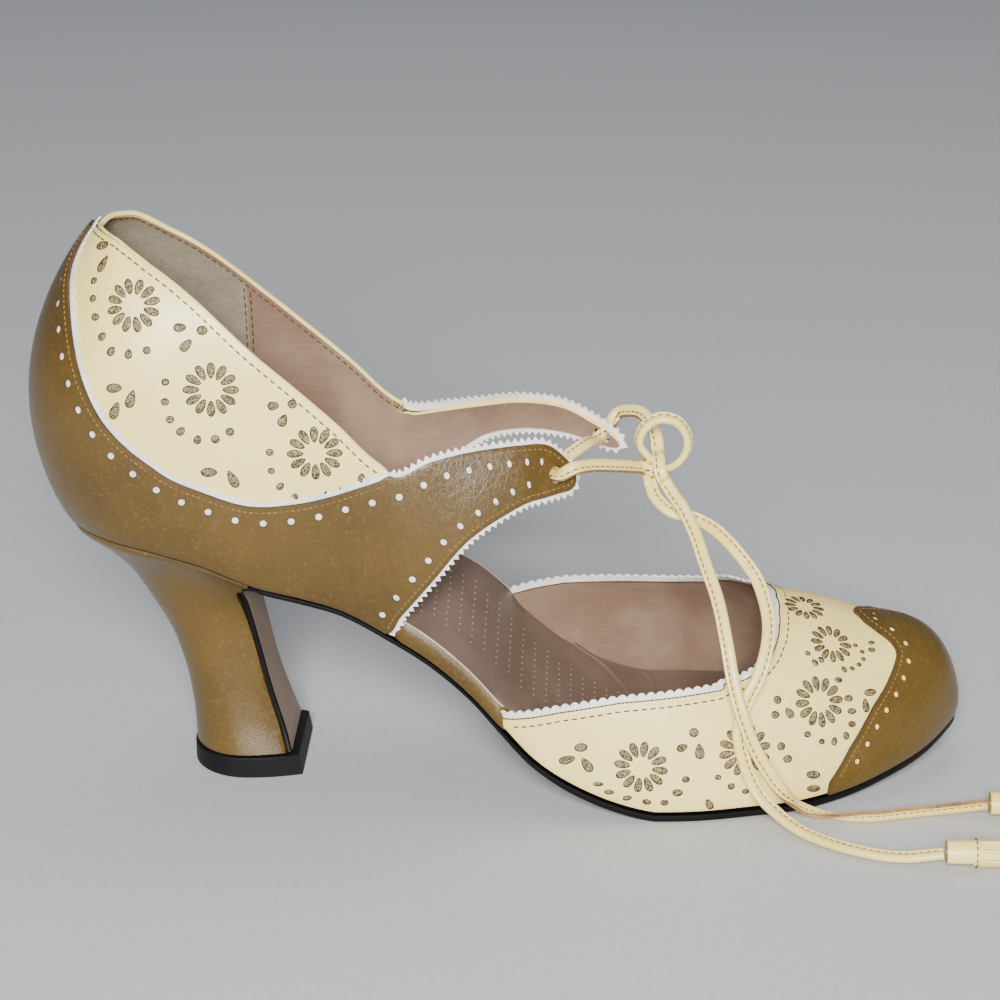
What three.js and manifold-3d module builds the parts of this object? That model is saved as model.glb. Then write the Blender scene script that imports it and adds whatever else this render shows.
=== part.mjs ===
// Right shoe: a high-heeled spectator pump with an open waist, tied over the instep.
// Millimetres, +Z up. The toe points to +X and the inner side of the foot is +Y.
import * as THREE from 'three';
import { mergeVertices } from 'three/addons/utils/BufferGeometryUtils.js';
import Module from 'manifold-3d';

const wasm = await Module();
wasm.setup();

// Driving dimensions
const shoeLength = 228;
const ballWidth = 76;
const seatHeight = 63;
const collarHeight = 138;
const toeSpring = 9;
const archRaise = 7;
const instepHeight = 44.5;
const soleThickness = 2.1;
const tipHeight = 5.3;
const boardThickness = 4.4;
const sockThickness = 1;
const overlayThickness = 1;
const wallThickness = 1.4;
const trimThickness = 0.6;
const trimWidth = 2;
const laceThickness = 3;
const laceHole = 4.6;
const knotSize = 6.4;
const tasselLength = 30;
const tasselCap = 7;
const clearance = 0.3;

const halfBall = ballWidth / 2;
const halfTurn = Math.PI / 2;

const finish = {
  tan: { color: 0xb08d57, roughness: 0.4, metalness: 0 },
  cream: { color: 0xeadfc0, roughness: 0.45, metalness: 0 },
  white: { color: 0xf2f0ea, roughness: 0.6, metalness: 0 },
  lining: { color: 0xb59a8c, roughness: 0.6, metalness: 0 },
  sole: { color: 0x9a8076, roughness: 0.55, metalness: 0 },
  rubber: { color: 0x111113, roughness: 0.6, metalness: 0 },
  lace: { color: 0xe2d3ab, roughness: 0.5, metalness: 0 },
};

function table(columns, rows) {
  return rows.map((row) => Object.fromEntries(columns.map((name, i) => [name, row[i]])));
}

// Sections of the last from the back of the heel to the toe.
// along is a share of the length; near and far are shares of half the ball width;
// rise, spring, arch and edge are shares of the seat height, toe spring, arch raise and sole
// thickness; collar is a share of the collar height; inset, bulge and foxing shape the quarter.
const last = table(
  ['along', 'near', 'far', 'rise', 'spring', 'arch', 'edge', 'collar', 'inset', 'bulge', 'foxing'],
  [
    [0.042, 0, 0, 1.004, 0, 0, 0.67, 1.0, 0.245, 0.342, 1.06],
    [0.051, 0.253, 0.253, 1.004, 0, 0, 0.67, 1.004, 0.243, 0.332, 0.89],
    [0.0725, 0.447, 0.447, 1.005, 0, 0, 0.67, 1.001, 0.232, 0.31, 0.75],
    [0.105, 0.587, 0.587, 0.994, 0, 0, 0.67, 0.991, 0.21, 0.276, 0.475],
    [0.149, 0.642, 0.642, 0.964, 0, 0, 0.67, 0.959, 0.168, 0.224, 0.335],
    [0.193, 0.647, 0.647, 0.916, 0, 0, 0.67, 0.907, 0.084, 0.158, 0.312],
    [0.2456, 0.647, 0.647, 0.836, 0, 0, 0.67, 0.828, -0.005, 0.108, 0.36],
    [0.294, 0.637, 0.632, 0.789, 0, 0.07, 0.67, 0.759, -0.042, 0.084, 0.47],
    [0.338, 0.626, 0.61, 0.735, 0, 0.21, 0.67, 0.694, -0.076, 0.068, 0.645],
    [0.3816, 0.632, 0.6, 0.646, 0, 0.46, 0.67, 0.625, -0.095, 0.058, 0.92],
    [0.4276, 0.684, 0.626, 0.549, 0, 0.79, 0.67, 0.6, -0.06, 0.05, 1.12],
    [0.469, 0.763, 0.684, 0.436, 0, 1, 0.67, 0, 0, 0, 1],
    [0.502, 0.842, 0.753, 0.317, 0, 0.97, 0.8, 0, 0, 0, 1],
    [0.535, 0.916, 0.842, 0.202, 0, 0.71, 0.9, 0, 0, 0, 1],
    [0.5746, 0.958, 0.926, 0.108, 0, 0.31, 1, 0, 0, 0, 1],
    [0.623, 0.984, 0.99, 0.034, 0, 0.06, 1, 0, 0, 0, 1],
    [0.671, 1.0, 1.016, 0, -0.02, 0, 1, 0, 0, 0, 1],
    [0.715, 0.979, 1.021, 0, 0.0, 0, 1, 0, 0, 0, 1],
    [0.763, 0.921, 0.984, 0, 0.02, 0, 1, 0, 0, 0, 1],
    [0.816, 0.837, 0.905, 0, 0.04, 0, 1, 0, 0, 0, 1],
    [0.868, 0.698, 0.81, 0, 0.17, 0, 1, 0, 0, 0, 1],
    [0.912, 0.532, 0.735, 0, 0.39, 0, 1, 0, 0, 0, 1],
    [0.952, 0.325, 0.61, 0, 0.62, 0, 1, 0, 0, 0, 1],
    [0.9807, 0.105, 0.46, 0, 0.88, 0, 1, 0, 0, 0, 1],
    [0.9956, -0.08, 0.3, 0, 1.02, 0, 1, 0, 0, 0, 1],
  ],
);
const lastRow = last.length - 1;
const toeStation = lastRow + 0.5;
const waistStation = 9;

// Tie tabs: along from the waist to the tip as a share of the length; the heights are shares of
// the collar height, the distances from the middle shares of half the ball width.
const tabColumns = ['along', 'low', 'lowOut', 'top', 'topOut', 'bulge'];
const nearTab = table(tabColumns, [
  [0.4, 0.348, 0.695, 0.608, 0.722, 0.05],
  [0.432, 0.415, 0.737, 0.63, 0.676, 0.04],
  [0.472, 0.493, 0.724, 0.64, 0.592, 0.03],
  [0.523, 0.542, 0.618, 0.643, 0.497, 0.02],
  [0.55, 0.55, 0.53, 0.636, 0.415, 0.012],
  [0.568, 0.553, 0.46, 0.61, 0.37, 0.006],
  [0.581, 0.553, 0.4, 0.581, 0.35, 0],
  [0.586, 0.56, 0.375, 0.572, 0.362, 0],
]);
const farTab = table(tabColumns, [
  [0.4, 0.39, 0.69, 0.604, 0.718, 0.05],
  [0.432, 0.472, 0.73, 0.612, 0.68, 0.04],
  [0.474, 0.54, 0.712, 0.628, 0.61, 0.03],
  [0.52, 0.57, 0.61, 0.641, 0.535, 0.02],
  [0.568, 0.576, 0.48, 0.637, 0.445, 0.012],
  [0.605, 0.567, 0.385, 0.611, 0.36, 0.006],
  [0.63, 0.558, 0.33, 0.583, 0.32, 0],
  [0.638, 0.56, 0.322, 0.57, 0.318, 0],
]);

// Top edge of the vamp along each side; heights are shares of the instep height.
const vampTopline = table(
  ['along', 'near', 'far'],
  [
    [0.49, 0.527, 0.7],
    [0.53, 0.567, 0.75],
    [0.566, 0.607, 0.782],
    [0.627, 0.656, 0.8],
    [0.689, 0.681, 0.818],
    [0.737, 0.7, 0.85],
  ],
);

// Throat of the vamp, seen from above round the fan point; reach is a share of half the ball width.
const throat = table(
  ['turn', 'reach'],
  [
    [-90, 0.795],
    [-80, 0.753],
    [-68, 0.692],
    [-61, 0.647],
    [-53, 0.584],
    [-43, 0.508],
    [-29, 0.429],
    [-4, 0.366],
    [25, 0.38],
    [50, 0.447],
    [65, 0.508],
    [78, 0.56],
    [90, 0.645],
  ],
);

// Wing-tip edge of the toe cap by the same turn; rise runs from the sole edge, 0, to the crest, 1.
const wingTip = table(
  ['turn', 'rise'],
  [
    [-52.5, 0.03],
    [-49, 0.085],
    [-41.5, 0.187],
    [-34, 0.262],
    [-28.6, 0.31],
    [-21.8, 0.355],
    [-17, 0.388],
    [-12.6, 0.418],
    [-10, 0.44],
    [-8.2, 0.48],
    [-6.8, 0.535],
    [-4.4, 0.611],
    [0, 0.66],
    [2.5, 0.67],
    [5, 0.66],
    [9.4, 0.611],
    [11.8, 0.535],
    [13.2, 0.46],
    [15, 0.401],
    [17.6, 0.369],
    [22, 0.337],
    [26.6, 0.306],
    [33.4, 0.267],
    [38.5, 0.229],
    [45.6, 0.172],
    [52.6, 0.075],
    [55.5, 0.03],
  ],
);

// Crest of the last over the vamp; height is a share of the instep height.
const crestLine = table(
  ['along', 'height'],
  [
    [0.49, 1.53],
    [0.566, 1.416],
    [0.627, 1.303],
    [0.689, 1.191],
    [0.737, 1.106],
    [0.772, 1.034],
    [0.803, 1],
    [0.842, 0.994],
    [0.88, 0.987],
    [0.895, 0.992],
    [0.91, 1.002],
    [0.925, 1.032],
    [0.94, 1.076],
    [0.955, 1.13],
    [0.97, 1.19],
    [0.985, 1.25],
    [1.01, 1.33],
  ],
);
const fanAlong = 0.737;
const fanSide = 0.04;
const heelFanAlong = 0.149;
const sectionRound = 2.3;
const sectionCrown = 1.8;
const vampOutset = 1.3;
const tuckDepth = 0.6;
const tuckHeight = 5;
const bulgePower = 0.75;

function smoothRow(rows, position, before, after) {
  const place = Math.min(Math.max(position, 0), rows.length - 1);
  const i = Math.min(Math.floor(place), rows.length - 2);
  const t = place - i;
  const a = i > 0 ? rows[i - 1] : before;
  const d = i + 2 < rows.length ? rows[i + 2] : after;
  const row = {};
  for (const name of Object.keys(rows[i])) {
    const [p, q, r, s] = [a[name], rows[i][name], rows[i + 1][name], d[name]];
    const square = 2 * p - 5 * q + 4 * r - s;
    const cube = 3 * q - p - 3 * r + s;
    row[name] = 0.5 * (2 * q + (r - p) * t + square * t * t + cube * t * t * t);
  }
  return row;
}

function between(rows, key, name, value) {
  let i = 0;
  while (i < rows.length - 2 && rows[i + 1][key] < value) i += 1;
  const t = (value - rows[i][key]) / (rows[i + 1][key] - rows[i][key]);
  const share = Math.min(Math.max(t, 0), 1);
  return rows[i][name] + (rows[i + 1][name] - rows[i][name]) * share;
}

// One side of the last as rows with a signed distance from the middle line.
function sideRows(side) {
  const own = side < 0 ? 'near' : 'far';
  const other = side < 0 ? 'far' : 'near';
  const rows = last.map((row) => ({ ...row, out: side * row[own], lift: side < 0 ? 0 : row.arch }));
  const mirror = (row) => ({ ...row, out: -side * row[other], lift: side < 0 ? row.arch : 0 });
  rows.push(mirror(last[lastRow]));
  return { rows, before: mirror(last[1]), after: mirror(last[lastRow - 1]) };
}
const sides = { '-1': sideRows(-1), 1: sideRows(1) };

// Edge of the bed that carries board and upper, at a station, on one side.
function station(place, side) {
  const { rows, before, after } = sides[side];
  const row = smoothRow(rows, place, before, after);
  const under = Math.max(0, row.rise * seatHeight + row.spring * toeSpring);
  const thick = row.edge * soleThickness;
  return {
    x: row.along * shoeLength,
    y: row.out * halfBall,
    z: under + thick + Math.max(0, row.lift) * archRaise,
    thick,
    row,
  };
}

function stationAt(x) {
  let low = 0;
  let high = toeStation;
  for (let i = 0; i < 40; i += 1) {
    const middle = (low + high) / 2;
    if (station(middle, -1).x < x) low = middle;
    else high = middle;
  }
  return low;
}

function bulgeCurve(t) {
  return Math.sin(Math.PI * Math.min(Math.max(t, 0), 1)) ** bulgePower;
}

// Quarter: place runs over the stations up to the waist, then over the rows of the tab.
const tabs = { '-1': nearTab, 1: farTab };
const tabEnd = waistStation + nearTab.length;

function bodyRow(place, side) {
  const foot = station(place, side);
  const axis = Math.max(foot.x, heelFanAlong * shoeLength);
  const out = Math.hypot(foot.x - axis, foot.y);
  return {
    axis,
    turn: Math.atan2(Math.abs(foot.y), axis - foot.x),
    low: foot.z + clearance,
    lowOut: out,
    top: foot.row.collar * collarHeight,
    topOut: out - foot.row.inset * halfBall,
    bulge: foot.row.bulge * halfBall,
  };
}

function tabRow(row) {
  return {
    axis: row.along * shoeLength,
    turn: halfTurn,
    low: row.low * collarHeight,
    lowOut: row.lowOut * halfBall,
    top: row.top * collarHeight,
    topOut: row.topOut * halfBall,
    bulge: row.bulge * halfBall,
  };
}

function quarterPoint(place, t) {
  const side = place < 0 ? -1 : 1;
  const along = Math.abs(place);
  let row;
  if (along <= waistStation) row = bodyRow(along, side);
  else {
    const rows = [bodyRow(waistStation, side), ...tabs[side].map(tabRow)];
    const tip = rows[rows.length - 1];
    row = smoothRow(rows, along - waistStation, bodyRow(waistStation - 1, side), tip);
  }
  const out = row.lowOut + (row.topOut - row.lowOut) * t + row.bulge * bulgeCurve(t);
  const x = row.axis - out * Math.cos(row.turn);
  const y = side * out * Math.sin(row.turn);
  return new THREE.Vector3(x, y, row.low + (row.top - row.low) * t);
}

function foxingTop(place) {
  const along = Math.abs(place);
  if (along >= waistStation + 0.4) return 1;
  const rows = last.slice(0, waistStation + 2);
  return Math.min(1, smoothRow(rows, along, last[1], last[lastRow]).foxing);
}

// Vamp: place runs from the rear end on the near side, -1, round the toe, 0, to the far side, 1;
// rise runs from the sole edge, 0, to the crest, 1.
const fan = new THREE.Vector2(fanAlong * shoeLength, fanSide * halfBall);
const vampRear = stationAt(0.499 * shoeLength);

function vampStation(place) {
  return vampRear + (toeStation - vampRear) * (1 - Math.abs(place));
}

function vampRib(place) {
  const side = place < 0 ? -1 : 1;
  const foot = station(vampStation(place), side);
  const inner = Math.min(foot.x, fan.x);
  const middle = new THREE.Vector2(inner, fan.y * Math.min(1, Math.max(0, inner / fan.x * 3 - 2)));
  const out = new THREE.Vector2(foot.x, foot.y).sub(middle);
  const reach = out.length() + vampOutset;
  return { foot, middle, direction: out.normalize(), reach, side };
}

function vampPoint(place, rise) {
  const rib = vampRib(place);
  const angle = Math.min(Math.max(rise, 0), 1) * halfTurn;
  const lift = Math.sin(angle) ** (2 / sectionCrown);
  const base = rib.foot.z + clearance;
  const rough = base + lift * instepHeight;
  const tuck = tuckDepth * Math.max(0, 1 - (rough - base) / tuckHeight) ** 2;
  const out = rib.reach * Math.cos(angle) ** (2 / sectionRound) - tuck;
  const x = rib.middle.x + rib.direction.x * out;
  const y = rib.middle.y + rib.direction.y * out;
  const crest = between(crestLine, 'along', 'height', x / shoeLength) * instepHeight;
  return new THREE.Vector3(x, y, base + (crest - base) * lift);
}

function riseOfHeight(place, height) {
  let low = 0;
  let high = 1;
  for (let i = 0; i < 30; i += 1) {
    const middle = (low + high) / 2;
    if (vampPoint(place, middle).z < height) low = middle;
    else high = middle;
  }
  return low;
}

function turnOf(place) {
  const rib = vampRib(place);
  const forward = Math.max(rib.foot.x - fan.x, 0);
  return Math.atan2(rib.foot.y - fan.y, forward) * 180 / Math.PI;
}

function placeOfTurn(turn) {
  let low = -1;
  let high = 1;
  for (let i = 0; i < 40; i += 1) {
    const middle = (low + high) / 2;
    if (turnOf(middle) < turn) low = middle;
    else high = middle;
  }
  return low;
}

function vampTop(place) {
  const rib = vampRib(place);
  if (rib.foot.x <= fan.x) {
    const side = rib.side < 0 ? 'near' : 'far';
    const height = between(vampTopline, 'along', side, rib.foot.x / shoeLength) * instepHeight;
    return riseOfHeight(place, height);
  }
  const reach = between(throat, 'turn', 'reach', turnOf(place)) * halfBall;
  return Math.acos(Math.min(1, (reach / rib.reach) ** (sectionRound / 2))) / halfTurn;
}

// Builders of closed solids
function meshFrom(points, faces) {
  const geometry = new THREE.BufferGeometry();
  const values = points.flatMap((p) => [p.x, p.y, p.z]);
  geometry.setAttribute('position', new THREE.Float32BufferAttribute(values, 3));
  geometry.setIndex(faces.flat());
  return geometry;
}

function outwards(geometry) {
  const at = geometry.getAttribute('position');
  const index = geometry.getIndex();
  let volume = 0;
  const [a, b, c] = [new THREE.Vector3(), new THREE.Vector3(), new THREE.Vector3()];
  for (let i = 0; i < index.count; i += 3) {
    a.fromBufferAttribute(at, index.getX(i));
    b.fromBufferAttribute(at, index.getX(i + 1));
    c.fromBufferAttribute(at, index.getX(i + 2));
    volume += a.dot(b.cross(c));
  }
  if (volume < 0) {
    for (let i = 0; i < index.count; i += 3) {
      const second = index.getX(i + 1);
      index.setX(i + 1, index.getX(i + 2));
      index.setX(i + 2, second);
    }
  }
  return geometry;
}

// Rings of equal length, joined in order and closed by a strip or a fan at both ends.
function loft(rings, ends = 'fan') {
  const size = rings[0].length;
  const points = rings.flat();
  const faces = [];
  for (let i = 0; i + 1 < rings.length; i += 1) {
    for (let j = 0; j < size; j += 1) {
      const a = i * size + j;
      const b = i * size + (j + 1) % size;
      faces.push([a, b, b + size], [a, b + size, a + size]);
    }
  }
  for (const [start, flip] of [[0, true], [(rings.length - 1) * size, false]]) {
    const cap = [];
    if (ends === 'fan') for (let j = 1; j + 1 < size; j += 1) cap.push([0, j, j + 1]);
    else {
      for (let j = 0; j + 1 < size / 2; j += 1) {
        const k = size - 1 - j;
        cap.push([j, j + 1, k], [j + 1, k - 1, k]);
      }
    }
    for (const [a, b, c] of cap) {
      if (a === b || b === c || a === c) continue;
      faces.push(flip ? [start + a, start + c, start + b] : [start + a, start + b, start + c]);
    }
  }
  const touch = (a, b) => points[a].distanceToSquared(points[b]) < 1e-9;
  const real = faces.filter(([a, b, c]) => !touch(a, b) && !touch(b, c) && !touch(a, c));
  return outwards(meshFrom(points, real));
}

function surfaceNormal(surface, u, t, outSign) {
  const step = 0.01;
  const inside = Math.min(Math.max(t, 0.02), 0.98);
  const alongU = surface(u + step, inside).sub(surface(u - step, inside));
  const alongT = surface(u, inside + step).sub(surface(u, inside - step));
  return alongU.cross(alongT).normalize().multiplyScalar(outSign);
}

// A wall between two depths under a surface; sharesAt gives the rising list of t at a place.
function wall(surface, places, sharesAt, outer, inner, outSign) {
  const rings = places.map((u) => {
    const front = [];
    const back = [];
    for (const t of sharesAt(u)) {
      const normal = surfaceNormal(surface, u, t, outSign);
      const point = surface(u, t);
      front.push(point.clone().addScaledVector(normal, -outer));
      back.push(point.clone().addScaledVector(normal, -inner));
    }
    return [...front, ...back.reverse()];
  });
  return loft(rings, 'strip');
}

function steps(from, to, count) {
  return Array.from({ length: count + 1 }, (_, i) => from + (to - from) * i / count);
}

function toManifold(geometry) {
  const bare = geometry.clone();
  bare.deleteAttribute('normal');
  bare.deleteAttribute('uv');
  const merged = mergeVertices(bare, 1e-4);
  return new wasm.Manifold(new wasm.Mesh({
    numProp: 3,
    vertProperties: new Float32Array(merged.getAttribute('position').array),
    triVerts: new Uint32Array(merged.getIndex().array),
  }));
}

function fromManifold(solid) {
  const mesh = solid.getMesh();
  const geometry = new THREE.BufferGeometry();
  geometry.setAttribute('position', new THREE.BufferAttribute(mesh.vertProperties, 3));
  geometry.setIndex(new THREE.BufferAttribute(mesh.triVerts, 1));
  return geometry;
}

function largest(solid) {
  const parts = solid.decompose().sort((a, b) => b.volume() - a.volume());
  return fromManifold(parts[0]);
}

const shoe = new THREE.Group();

function add(name, geometry, look) {
  const mesh = new THREE.Mesh(geometry, new THREE.MeshStandardMaterial(finish[look]));
  mesh.name = name;
  shoe.add(mesh);
  return mesh;
}

// Outsole: a sheet that runs from the toe under the shank and down the front of the heel.
// out is a share of half the ball width, level a share of the seat height.
const breastTop = stationAt(0.258 * shoeLength);
const breastFoot = [0.274, tipHeight + 2 * clearance];
const breast = table(
  ['along', 'level', 'out'],
  [
    [0.2435, 0.831, 0.6],
    [0.2325, 0.806, 0.5],
    [0.229, 0.762, 0.36],
    [0.2325, 0.695, 0.28],
    [0.243, 0.52, 0.25],
    [0.2535, 0.35, 0.25],
    [0.267, 0.185, 0.28],
  ],
);
const breastFootOut = 0.33;
const cutDepth = 6;

function outsole(extra = 0, outer = 0, breastOut = null) {
  const forward = steps(toeStation - 0.02, breastTop, 46).map((place) => {
    const near = station(place, -1);
    const far = station(place, 1);
    return {
      x: near.x,
      z: near.z - near.thick,
      near: near.y,
      far: far.y,
      lift: far.z - near.z,
      thick: near.thick,
    };
  });
  const seam = forward[forward.length - 1];
  const down = breast.map((row) => ({
    x: row.along * shoeLength,
    z: row.level * seatHeight,
    near: -(breastOut ?? row.out) * halfBall,
    far: (breastOut ?? row.out) * halfBall,
    lift: 0,
    thick: seam.thick,
  }));
  down.push({
    x: breastFoot[0] * shoeLength,
    z: breastFoot[1],
    near: -(breastOut ?? breastFootOut) * halfBall,
    far: (breastOut ?? breastFootOut) * halfBall,
    lift: 0,
    thick: seam.thick,
  });
  const bend = [];
  const rows = [forward[forward.length - 2], seam, ...down];
  for (const place of steps(1, rows.length - 1, 16).slice(1)) {
    bend.push(smoothRow(rows, place, rows[0], rows[rows.length - 1]));
  }
  const line = [...forward, ...bend];
  const rings = line.map((row, i) => {
    const before = line[Math.max(i - 1, 0)];
    const after = line[Math.min(i + 1, line.length - 1)];
    const way = new THREE.Vector2(after.x - before.x, after.z - before.z).normalize();
    const flat = i < forward.length - 1;
    const square = flat ? new THREE.Vector2(0, 1) : new THREE.Vector2(way.y, -way.x);
    const top = square.clone().multiplyScalar(row.thick + extra);
    const under = square.clone().multiplyScalar(-outer);
    const ring = [];
    const across = steps(row.near, row.far, 2);
    const liftAt = (y) => row.lift * (y - row.near) / (row.far - row.near);
    for (const y of across) {
      ring.push(new THREE.Vector3(row.x + under.x, y, row.z + under.y + liftAt(y)));
    }
    for (const y of across.reverse()) {
      ring.push(new THREE.Vector3(row.x + top.x, y, row.z + top.y + liftAt(y)));
    }
    return ring;
  });
  return loft(rings, 'strip');
}

// Heel: sections from the top piece up to the seat; level runs 0 to 1 in each upright of the side.
const heelRows = table(
  ['level', 'back', 'front', 'half', 'frontHalf'],
  [
    [0, 0.165, 0.276, 0.382, 0.32],
    [0.153, 0.163, 0.262, 0.325, 0.26],
    [0.325, 0.156, 0.25, 0.297, 0.235],
    [0.5, 0.142, 0.24, 0.3, 0.235],
    [0.664, 0.1193, 0.232, 0.342, 0.26],
    [0.792, 0.099, 0.229, 0.416, 0.33],
    [0.883, 0.076, 0.232, 0.5, 0.43],
    [0.956, 0.0522, 0.236, 0.59, 0.55],
    [1, 0.0432, 0.2395, 0.642, 0.642],
  ],
);

const narrowest = 0.4;
const seatInset = 0.2;

function heelOutline(row, count) {
  const back = row.back * shoeLength;
  const front = row.front * shoeLength;
  const half = row.half * halfBall;
  const frontHalf = row.frontHalf * halfBall;
  const middle = (back + front) / 2;
  return steps(0, 1, count).map((share) => {
    const bent = share < 0.5 ? 1 - Math.cos(share * Math.PI) : share * 2;
    const x = back + (middle - back) * bent;
    const curve = x < middle
      ? half * Math.sqrt(Math.max(0, 1 - ((middle - x) / (middle - back)) ** 2))
      : half - (half - frontHalf) * ((x - middle) / (front - middle)) ** 2;
    return [x, Math.max(curve, narrowest)];
  });
}

function heel() {
  const count = 10;
  const top = heelOutline(heelRows[heelRows.length - 1], count);
  const seatEdge = top.map(([x]) => {
    const place = stationAt(x);
    const half = Math.max(Math.abs(station(place, 1).y) - seatInset, narrowest);
    return { x, y: half, z: station(place, -1).z };
  });
  const rows = steps(0, heelRows.length - 1, 15).map((place) => smoothRow(
    heelRows,
    place,
    heelRows[0],
    heelRows[heelRows.length - 1],
  ));
  const base = tipHeight + clearance;
  const rings = rows.map((row, i) => {
    const outline = heelOutline(row, count);
    const atSeat = i === rows.length - 1;
    const side = (sign) => outline.map(([x, y], j) => new THREE.Vector3(
      atSeat ? seatEdge[j].x : x,
      sign * (atSeat ? seatEdge[j].y : y),
      base + (seatEdge[j].z - base) * Math.min(row.level, 1),
    ));
    return [...side(-1), ...side(1).reverse()];
  });
  return loft(rings, 'strip');
}

// The rubber tip stands out round the heel, and its front leans forward to the floor.
const tipGrow = 1.3;
const tipStretch = 1.02;
const tipFront = { floor: 0.0085, top: 0.0045 };

function heelTip() {
  const row = heelRows[0];
  const ring = (z, front) => {
    const outline = heelOutline({ ...row, front: row.front + front }, 12).map(([x, y]) => {
      const middle = (row.back + row.front) / 2 * shoeLength;
      return [middle + (x - middle) * tipStretch, y + tipGrow];
    });
    const side = (sign) => outline.map(([x, y]) => new THREE.Vector3(x, sign * y, z));
    return [...side(-1), ...side(1).reverse()];
  };
  return loft([ring(0, tipFront.floor), ring(tipHeight, tipFront.top)], 'strip');
}

// Board and sock: inset from the edge of the bed, wide where the waist is open.
const insetUnderUpper = overlayThickness + wallThickness + 3 * clearance;
const openFrom = 0.405;
const openTo = 0.488;
const openBlend = 0.012;
const bedHeelGap = 0.4;
const bedToeGap = 1.4;
const sockInset = 0.7;

function boardInset(share) {
  const into = Math.min(Math.max((share - openFrom) / openBlend, 0), 1);
  const out = Math.min(Math.max((openTo - share) / openBlend, 0), 1);
  return insetUnderUpper - (insetUnderUpper - clearance) * Math.min(into, out);
}

function bedSheet(extraInset, low, high, count) {
  const first = stationAt(last[0].along * shoeLength + insetUnderUpper + extraInset + bedHeelGap);
  const end = stationAt(shoeLength - insetUnderUpper - extraInset - bedToeGap);
  const rings = steps(first, end, count).map((place) => {
    const near = station(place, -1);
    const far = station(place, 1);
    const inset = boardInset(near.x / shoeLength) + extraInset;
    const edgeAt = (side) => insetEdge(place, side, inset);
    const [a, b] = [edgeAt(-1), edgeAt(1)];
    const across = steps(a, b, 2);
    const height = (y) => near.z + (far.z - near.z) * (y - near.y) / (far.y - near.y);
    const ring = across.map((y) => new THREE.Vector3(near.x, y, height(y) + low));
    for (const y of across.reverse()) ring.push(new THREE.Vector3(near.x, y, height(y) + high));
    return ring;
  });
  return loft(rings, 'strip');
}

// Distance from the middle of the edge, moved in by the inset measured square to the outline.
function insetEdge(place, side, inset) {
  const here = station(place, side);
  const step = 0.05;
  const a = station(Math.max(place - step, 0), side);
  const b = station(Math.min(place + step, toeStation), side);
  const slope = Math.min(Math.abs((b.y - a.y) / (b.x - a.x)), 6);
  const edge = here.y - side * inset * Math.hypot(1, slope);
  const middle = (station(place, -1).y + station(place, 1).y) / 2;
  return side < 0 ? Math.min(edge, middle - 1) : Math.max(edge, middle + 1);
}

add('outsole', outsole(), 'sole');
const breastCut = outsole(clearance, cutDepth, 1);
add('heel', largest(toManifold(heel()).subtract(toManifold(breastCut))), 'tan');
add('heel_tip', heelTip(), 'rubber');
add('insole', bedSheet(0, clearance, clearance + boardThickness, 44), 'tan');
const sockBase = boardThickness + 2 * clearance;
add('sock_lining', bedSheet(sockInset, sockBase, sockBase + sockThickness, 36), 'lining');

// Upper walls. An overlay follows the grid of the wall under it, held back to its own edge.
const quarterOuter = overlayThickness + clearance;
const quarterInner = quarterOuter + wallThickness;
const quarterShares = [0, 0.06, 0.17, 0.33, 0.52, 0.72, 0.89, 1];
const quarterSign = -1;
const tabPlace = tabEnd - 1;
const foxingStart = 0.35;
const sidePlaces = [
  foxingStart, 0.7, 1.05, 1.4, 1.75, 2.2, 2.7, 3.3,
  ...steps(4, waistStation, 7),
  ...steps(waistStation, tabPlace, 10).slice(1),
];
const quarterPlaces = [...sidePlaces.map((u) => -u).reverse(), 0, ...sidePlaces];

const holes = {
  near: { place: -(waistStation + 5.55), share: 0.45 },
  far: { place: waistStation + 6.2, share: 0.52 },
};

function holeFrame({ place, share }) {
  const centre = quarterPoint(place, share);
  return { centre, normal: surfaceNormal(quarterPoint, place, share, quarterSign) };
}

function drilled(solid) {
  let result = solid;
  for (const hole of Object.values(holes)) {
    const { centre, normal } = holeFrame(hole);
    const tool = new THREE.CylinderGeometry(laceHole / 2, laceHole / 2, 12, 12);
    const up = new THREE.Vector3(0, 1, 0);
    tool.applyQuaternion(new THREE.Quaternion().setFromUnitVectors(up, normal));
    tool.translate(centre.x, centre.y, centre.z);
    result = result.subtract(toManifold(tool));
  }
  return largest(result);
}

const quarterGrid = () => quarterShares;
const foxingGrid = (u) => quarterShares.map((t) => Math.min(t, foxingTop(u)));
const quarter = wall(
  quarterPoint,
  quarterPlaces,
  quarterGrid,
  quarterOuter,
  quarterInner,
  quarterSign,
);
const foxing = wall(quarterPoint, quarterPlaces, foxingGrid, 0, overlayThickness, quarterSign);
add('quarter', drilled(toManifold(quarter)), 'cream');
add('foxing', drilled(toManifold(foxing)), 'tan');

const capPlaces = wingTip.map((row) => placeOfTurn(row.turn));
const capStart = capPlaces[0];
const capEnd = capPlaces[capPlaces.length - 1];
const vampPlaces = [
  ...steps(-1, placeOfTurn(-88), 9),
  ...steps(placeOfTurn(-88), capStart, 4).slice(1),
  ...capPlaces.slice(1),
  ...steps(capEnd, placeOfTurn(88), 4).slice(1),
  ...steps(placeOfTurn(88), 1, 9).slice(1),
];
const vampShares = [0, 0.1, 0.24, 0.4, 0.56, 0.72, 0.87, 1];
const vampGrid = (u) => vampShares.map((share) => share * vampTop(u));
const capGrid = (u) => {
  const edge = between(wingTip, 'turn', 'rise', turnOf(u));
  return vampGrid(u).map((t) => Math.min(t, edge));
};
add('vamp', wall(vampPoint, vampPlaces, vampGrid, quarterOuter, quarterInner, 1), 'cream');
add('toe_cap', wall(vampPoint, capPlaces, capGrid, 0, overlayThickness, 1), 'tan');

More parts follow.
